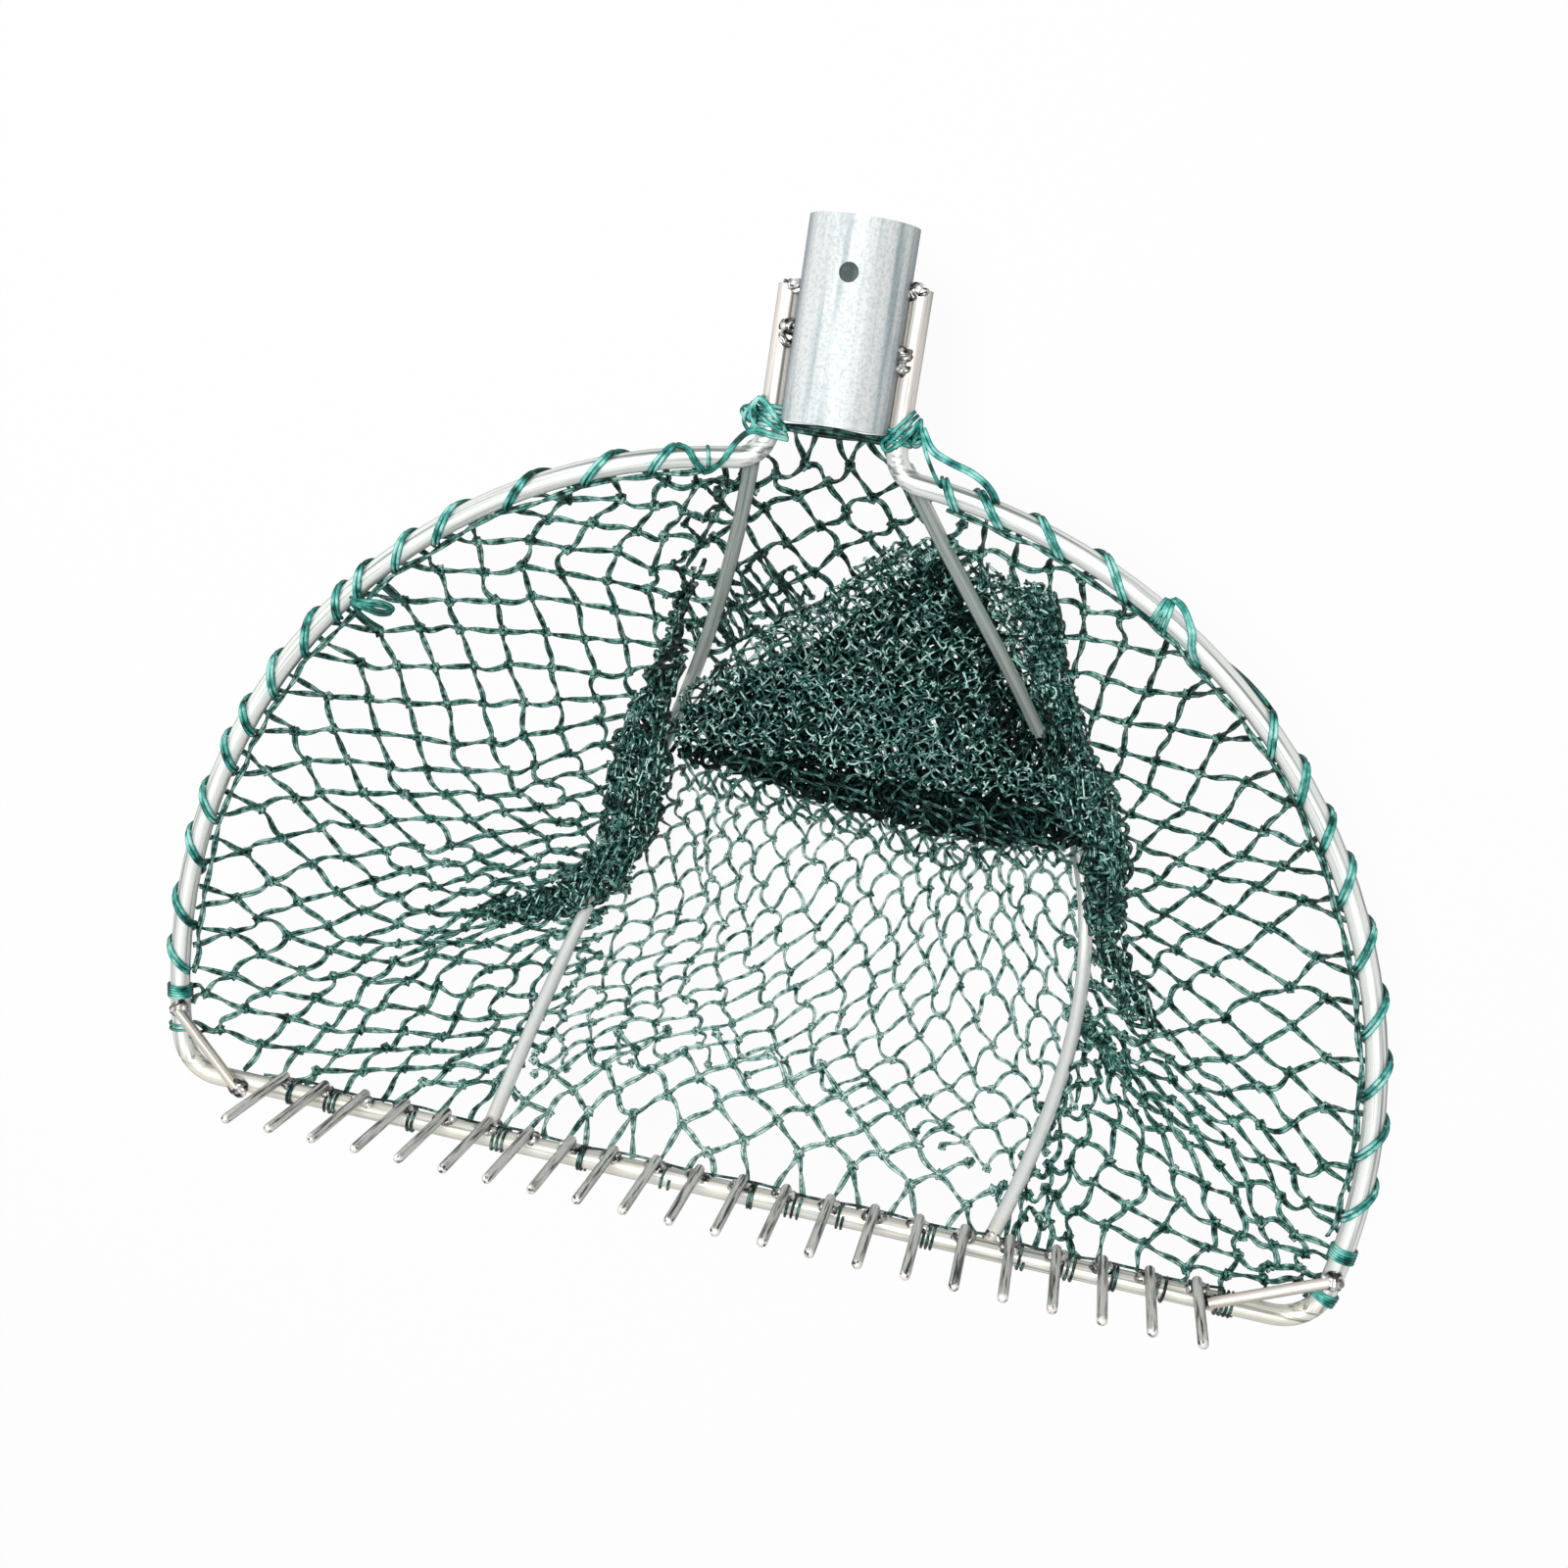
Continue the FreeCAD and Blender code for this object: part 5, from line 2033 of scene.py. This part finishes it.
@dataclass(frozen=True)
class NetBag:
    """The bag: panels of single netting, and the layers gathered between the ribs and beside them."""

    thick: Twine = Twine(strand_r=1.05, strands=1, sides=4)
    thin: Twine = Twine(strand_r=0.54, strands=1, sides=4)
    fine: Twine = Twine(strand_r=0.45, sides=4, lay=14.0)

    def panels(self) -> tuple:
        """The panels of single netting.

        Returns:
            The five panels.
        """
        return (
            NetPanel("left_panel", LEFT_KNOTS, LEFT_EDGE, side_depth, seed=11, selvage=(-1, 81.0, -4.0)),
            NetPanel("right_panel", RIGHT_KNOTS, RIGHT_EDGE, side_depth, seed=12, selvage=(1, 81.0, -6.0)),
            NetPanel("belly_panel", BELLY_KNOTS, BELLY_EDGE, belly_depth, bow=(0.0, 1.0), seed=13, margin=5.0,
                     hoop_reach=0.0, knot=1.15, twine=Twine(strand_r=0.49), shade=Green.PALER),
            NetPanel("bottom_panel", STRIP_KNOTS, STRIP_EDGE, strip_depth, bow=(0.0, 1.0), seed=14,
                     margin=4.0, shade=Green.PALER),
            # The top panel's twine carries painted shade.
            NetPanel("top_panel", TOP_KNOTS, TOP_EDGE, top_depth, seed=15, margin=6.0, holder=HeaderLine.foot,
                     hook_in=-0.4, shade=Green.SHADED),
        )

    def heap(self) -> tuple:
        """The gathered net between the ribs, from its base in painted shade up to its threads in painted
        highlight, with its crease in painted shade.

        Returns:
            The nine layers.
        """
        base = dict(pitch=(4.2, 4.2), bar_length=6.0, knot=0.0, twine=self.thick, shade=Green.DEEP_SHADE)
        threads = dict(pitch=(4.1, 4.1), bar_length=5.9, knot=0.75, knot_steps=8, bow=1.5, jitter=0.24,
                       twine=self.thin)
        # The base layers, the crease, the veil and the tangle carry painted shade, and the top threads painted
        # highlight.
        return (
            CrumpledLayer("heap_base_lower", HEAP_EDGE, ((140.0, -90.0), (245.0, -70.0)), seed=21, **base),
            CrumpledLayer("heap_base_middle", HEAP_EDGE, ((140.0, -84.0), (245.0, -66.0)), turn_deg=60.0,
                          seed=22, **base),
            CrumpledLayer("heap_base_upper", CREASE_EDGE, ((140.0, -78.0), (245.0, -64.0)), turn_deg=35.0,
                          seed=29, **base),
            CrumpledLayer("heap_lower_net", THREAD_EDGE, ((140.0, -76.0), (245.0, -62.0)), turn_deg=34.0,
                          seed=23, **threads),
            CrumpledLayer("heap_threads", THREAD_EDGE, ((140.0, -70.0), (245.0, -58.0)), turn_deg=52.0,
                          seed=31, shade=Green.LIT, **threads),
            CrumpledLayer("heap_crease", CREASE_EDGE, ((120.0, -74.0), (180.0, -66.0)), pitch=(8.0, 4.6),
                          turn_deg=-14.0, seed=26, bar_length=9.0, bow=2.0, knot=0.8, twine=self.fine,
                          shade=Green.SHADED),
            CrumpledLayer("heap_fringe", FRINGE_EDGE, ((100.0, -94.0), (180.0, -84.0)), pitch=(4.2, 8.5),
                          turn_deg=47.0, seed=33, bar_length=9.2, bow=1.6, jitter=0.2, knot=0.8,
                          twine=self.fine),
            CrumpledLayer("heap_veil", VEIL_EDGE, ((200.0, -74.0), (260.0, -50.0)), pitch=(5.2, 12.0),
                          turn_deg=35.0, seed=34, bar_length=12.3, knot=0.9, jitter=0.16, swell=2.0,
                          shade=Green.SHADED),
            CrumpledLayer("upper_tangle", TANGLE_EDGE, ((230.0, -50.0), (290.0, -22.0)), pitch=(7.5, 11.0),
                          turn_deg=28.0, seed=35, bar_length=12.5, knot=1.0, swell=2.0, jitter=0.18,
                          shade=Green.SHADED),
        )

    def fold(self, name: str, edge: tuple, span: tuple, heights: tuple, turns: tuple, seeds: tuple) -> tuple:
        """One fold that runs down beside a rib: two layers of base in painted shade, threads in painted
        highlight that follow it, and its fringe.

        Args:
            name: left or right.
            edge: its outline in the photograph's pixels.
            span: the Y of its low end and of its high end.
            heights: the Z at those two ends, for each layer.
            turns: the layers' turns in degrees.
            seeds: the layers' seeds.

        Returns:
            The four layers.
        """
        # The fold's base carries painted shade and its threads painted highlight.
        base = dict(pitch=(4.2, 4.2), bar_length=6.0, knot=0.0, twine=self.thick, shade=Green.SHADED)
        threads = dict(pitch=(3.3, 7.6), bar_length=8.6, knot=0.8, knot_steps=8, bow=1.7, jitter=0.24,
                       twine=self.thin, shade=Green.LIT)
        fringe = dict(pitch=(5.0, 8.5), bar_length=9.6, knot=0.8, twine=self.fine)
        kinds = (("base", base), ("base_upper", base), ("threads", threads), ("fringe", fringe))
        layers = []
        for (word, sizes), height, turn, seed in zip(kinds, heights, turns, seeds):
            slope = tuple(zip(span, height))
            layers.append(CrumpledLayer(f"{name}_fold_{word}", edge, slope, turn_deg=turn, seed=seed,
                                        **sizes))
        return tuple(layers)

    def layers(self) -> tuple:
        """All gathered layers: the heap and its two folds.

        Returns:
            The layers.
        """
        left = self.fold("left", LEFT_FOLD_EDGE, (100.0, 260.0),
                         ((-84.0, -66.0), (-78.0, -62.0), (-72.0, -58.0), (-76.0, -60.0)),
                         (20.0, 50.0, -6.0, -10.0), (24, 38, 27, 36))
        right = self.fold("right", RIGHT_FOLD_EDGE, (60.0, 240.0),
                          ((-76.0, -64.0), (-70.0, -60.0), (-64.0, -56.0), (-68.0, -58.0)),
                          (-20.0, 15.0, 23.0, 20.0), (25, 39, 28, 37))
        return (*self.heap(), *left, *right)

    def build(self, greens: dict) -> None:
        """Makes every panel and layer.

        Args:
            greens: the twine's materials by shade.
        """
        for panel in self.panels():
            hand_over(panel.build(greens[panel.shade]), "net_bag", "net_twine")
        for layer in self.layers():
            hand_over(layer.build(greens[layer.shade]), "gathered_net", "net_twine")


def polar(side: int, centre: tuple, radius: float, degrees: tuple) -> tuple:
    """Places round an arc in the mouth's plane.

    Args:
        side: -1 for the left half, 1 for the right.
        centre: the arc's centre, for the right half.
        radius: its radius.
        degrees: where on it.

    Returns:
        One place for each angle.
    """
    turns = [math.radians(degree) for degree in degrees]
    return tuple((side * (centre[0] + radius * math.cos(turn)), centre[1] + radius * math.sin(turn), 0.0)
                 for turn in turns)


@dataclass(frozen=True)
class Lashings:
    """The lacings round the arcs, the whippings, the collar ties, the header cord and the bar lacing."""

    whip_r: float = 4.7
    collar_r: float = 4.85
    loop_r: float = 4.75
    cord: Twine = Twine(strand_r=0.58, strands=1, sides=8)
    stout: Twine = Twine(strand_r=0.85, strands=2, lay=60.0, sides=8, spread=0.8)

    def lacings(self) -> tuple:
        """The doubled cords round the two arcs."""
        return (HoopLacing(-1, "left_lacing_cord", "left_lacing", LEFT_WRAPS, runs=LEFT_LOOSE_CORDS),
                HoopLacing(1, "right_lacing_cord", "right_lacing", RIGHT_WRAPS, runs=RIGHT_LOOSE_CORDS))

    def whipping(self, node: str, line: tuple, turns: float, runs: tuple = ()) -> CordWork:
        """Turns of fine cord round the rod.

        Args:
            node: the CAD node it stands for.
            line: the stretch of rod it covers.
            turns: how many.
            runs: loose ends.

        Returns:
            The whipping.
        """
        return CordWork(node + "_cord", node, ((line, self.whip_r, turns, 0.0),), runs, cord=self.cord)

    def whippings(self) -> tuple:
        """The two whippings above each corner.

        Returns:
            The four whippings.
        """
        left_upper = polar(-1, HOOP_CENTRE, HOOP_R, (-5.2, -5.9, -6.6))
        left_lower = polar(-1, HOOP_CENTRE, HOOP_R, (-9.3, -9.8, -10.3))
        right_upper = polar(1, HOOP_CENTRE, HOOP_R, (-6.1, -6.8, -7.5))
        right_lower = polar(1, CORNER_CENTRE, CORNER_R, (-12.5, -19.0, -26.0))
        loose_end = ((-240.0, 38.0, 2.0), (-238.5, 30.0, 2.5), (-235.0, 20.0, 2.0), (-232.0, 14.0, 1.0))
        return (self.whipping("left_upper_whipping", left_upper, 5.0),
                self.whipping("left_lower_whipping", left_lower, 2.0, (loose_end,)),
                self.whipping("right_upper_whipping", right_upper, 5.0),
                self.whipping("right_lower_whipping", right_lower, 4.0))

    def collar_ties(self) -> tuple:
        """The coils and knots round the two legs.

        Returns:
            The two ties.
        """
        left_leg = tuple((-LEG_X, y, 0.0) for y in (299.0, 303.0, 307.0))
        right_leg = tuple((LEG_X, y, 0.0) for y in (298.5, 302.0, 305.5))
        return (
            CordWork("left_collar_tie_cord", "left_collar_tie", ((left_leg, self.collar_r, 4.5, 0.0),),
                     seen_runs=LEFT_KNOT_CORDS, knots=((-31.5, 303.5, 1.5),), knot_size=2.2),
            CordWork("right_collar_tie_cord", "right_collar_tie", ((right_leg, self.collar_r, 3.5, 180.0),),
                     seen_runs=RIGHT_KNOT_CORDS, knots=((31.0, 303.0, 0.5),), knot_size=2.0),
        )

    def header(self) -> CordWork:
        """The cord between the legs, in the twine with painted shade."""
        return CordWork("header_cord_rope", "header_cord", seen_runs=HEADER_CORDS, cord=self.stout,
                        shade=Green.SHADED, slot="net_twine")

    def bar_lacing(self) -> CordWork:
        """The cord under the tooth bar, the loops that hold it and the turns at its right end.

        Returns:
            The lacing.
        """
        under_bar = [(x, 3.4 + 0.5 * math.sin(x * 0.13), -4.4 + 0.3 * math.sin(x * 0.4))
                     for x in range(-200, 201, 8)]
        loops = [(((x - lean, 0.0, 0.0), (x, 0.0, 0.0), (x + lean, 0.0, 0.0)), self.loop_r, turns, start_deg)
                 for x, lean, turns, start_deg in BAR_LOOPS]
        end_turns = (((197.0, 0.0, 0.0), (200.5, 0.0, 0.0), (204.0, 0.0, 0.0)), self.whip_r, 4.0, 0.0)
        # The bar lacing uses the twine with painted shade.
        return CordWork("bar_lacing_cord", "bar_lacing", (*loops, end_turns), (under_bar,), cord=self.cord,
                        shade=Green.SHADED)

    def build(self, greens: dict) -> None:
        """Makes every cord.

        Args:
            greens: the cord's materials by shade.
        """
        works = (*self.lacings(), *self.whippings(), *self.collar_ties(), self.header(), self.bar_lacing())
        for work in works:
            hand_over(work.build(greens[work.shade]), work.node, work.slot)


class Welds:
    """The beads of weld at every joint: its name, its seed and its lumps."""

    JOINTS = (
        ("left_leg_top", 2, (Lump((-21.6, 349.0, 1.8), (4.6, 2.6, 2.6), 20.0),
                             Lump((-24.4, 349.6, 2.2), (2.4, 1.8, 1.8)))),
        ("right_leg_top", 4, (Lump((21.6, 353.0, 1.8), (3.6, 3.2, 2.6), 60.0),
                              Lump((25.0, 352.6, 2.0), (2.6, 2.0, 2.0)))),
        ("left_leg_side", 6, (Lump((-21.4, 335.0, 3.4), (3.2, 3.4, 2.4), 80.0),
                              Lump((-21.8, 330.5, 3.2), (2.9, 3.2, 2.2), 60.0))),
        ("right_leg_side", 8, (Lump((21.4, 330.8, 3.4), (3.0, 3.6, 2.5), 80.0),
                               Lump((21.8, 325.6, 3.2), (2.7, 3.0, 2.2), 100.0))),
        ("left_rib_top", 10, (Lump((-29.4, 288.0, -3.6), (3.6, 3.4, 2.8), 20.0),)),
        ("right_rib_top", 12, (Lump((29.4, 288.0, -3.6), (3.6, 3.4, 2.8), -20.0),)),
        ("left_rib_foot", 14, (Lump((-97.5, 3.4, -3.6), (4.0, 2.8, 2.6), 10.0),)),
        ("right_rib_foot", 16, (Lump((109.5, 3.4, -3.6), (4.0, 2.8, 2.6), -10.0),)),
        ("left_brace_hoop", 18, (Lump((-236.0, 27.5, 4.8), (4.2, 3.6, 2.9), 45.0),)),
        ("left_brace_bar", 20, (Lump((-207.0, -0.5, 4.9), (4.8, 3.9, 3.4), -40.0),)),
        ("right_brace_hoop", 22, (Lump((236.0, 20.5, 4.8), (4.6, 3.8, 3.2), 30.0),
                                  Lump((232.0, 19.0, 5.2), (3.0, 2.6, 2.2)))),
        ("right_brace_bar", 24, (Lump((194.0, 1.5, 4.6), (4.2, 3.2, 2.8), 20.0),)),
    )

    @staticmethod
    def at_teeth() -> tuple:
        """Two lumps at the root of every tooth.

        Returns:
            The lumps.
        """
        lumps = []
        for k in range(TOOTH_COUNT):
            middle = (k - (TOOTH_COUNT - 1) / 2.0) * TOOTH_PITCH
            for side in (-1, 1):
                place = (middle + side * 2.2, 4.0, 1.2 + 0.5 * ((k * 7) % 3))
                half = (2.3 + 0.3 * ((k * 5 + side) % 4), 2.1, 3.0)
                lumps.append(Lump(place, half, 15.0 * ((k * 3) % 5)))
        return tuple(lumps)

    def beads(self) -> tuple:
        """Every bead.

        Returns:
            The thirteen beads.
        """
        beads = [WeldBead(f"{joint}_bead", f"{joint}_weld", seed, lumps)
                 for joint, seed, lumps in self.JOINTS]
        return (*beads, WeldBead("tooth_root_beads", "tooth_welds", 26, self.at_teeth()))

    def build(self) -> None:
        """Makes every bead."""
        metal = WeldFinish().build()
        for bead in self.beads():
            hand_over(bead.build(metal), bead.node, "weld_metal")


def main() -> None:
    """Builds every sub-assembly and reports it."""
    logging.basicConfig(level=logging.INFO, format="%(message)s")
    Studio().build()
    SteelFrame().dress()
    greens = {shade: shade.value.build() for shade in Green}
    NetBag().build(greens)
    Lashings().build(greens)
    Welds().build()


if __name__ == "__main__":
    main()
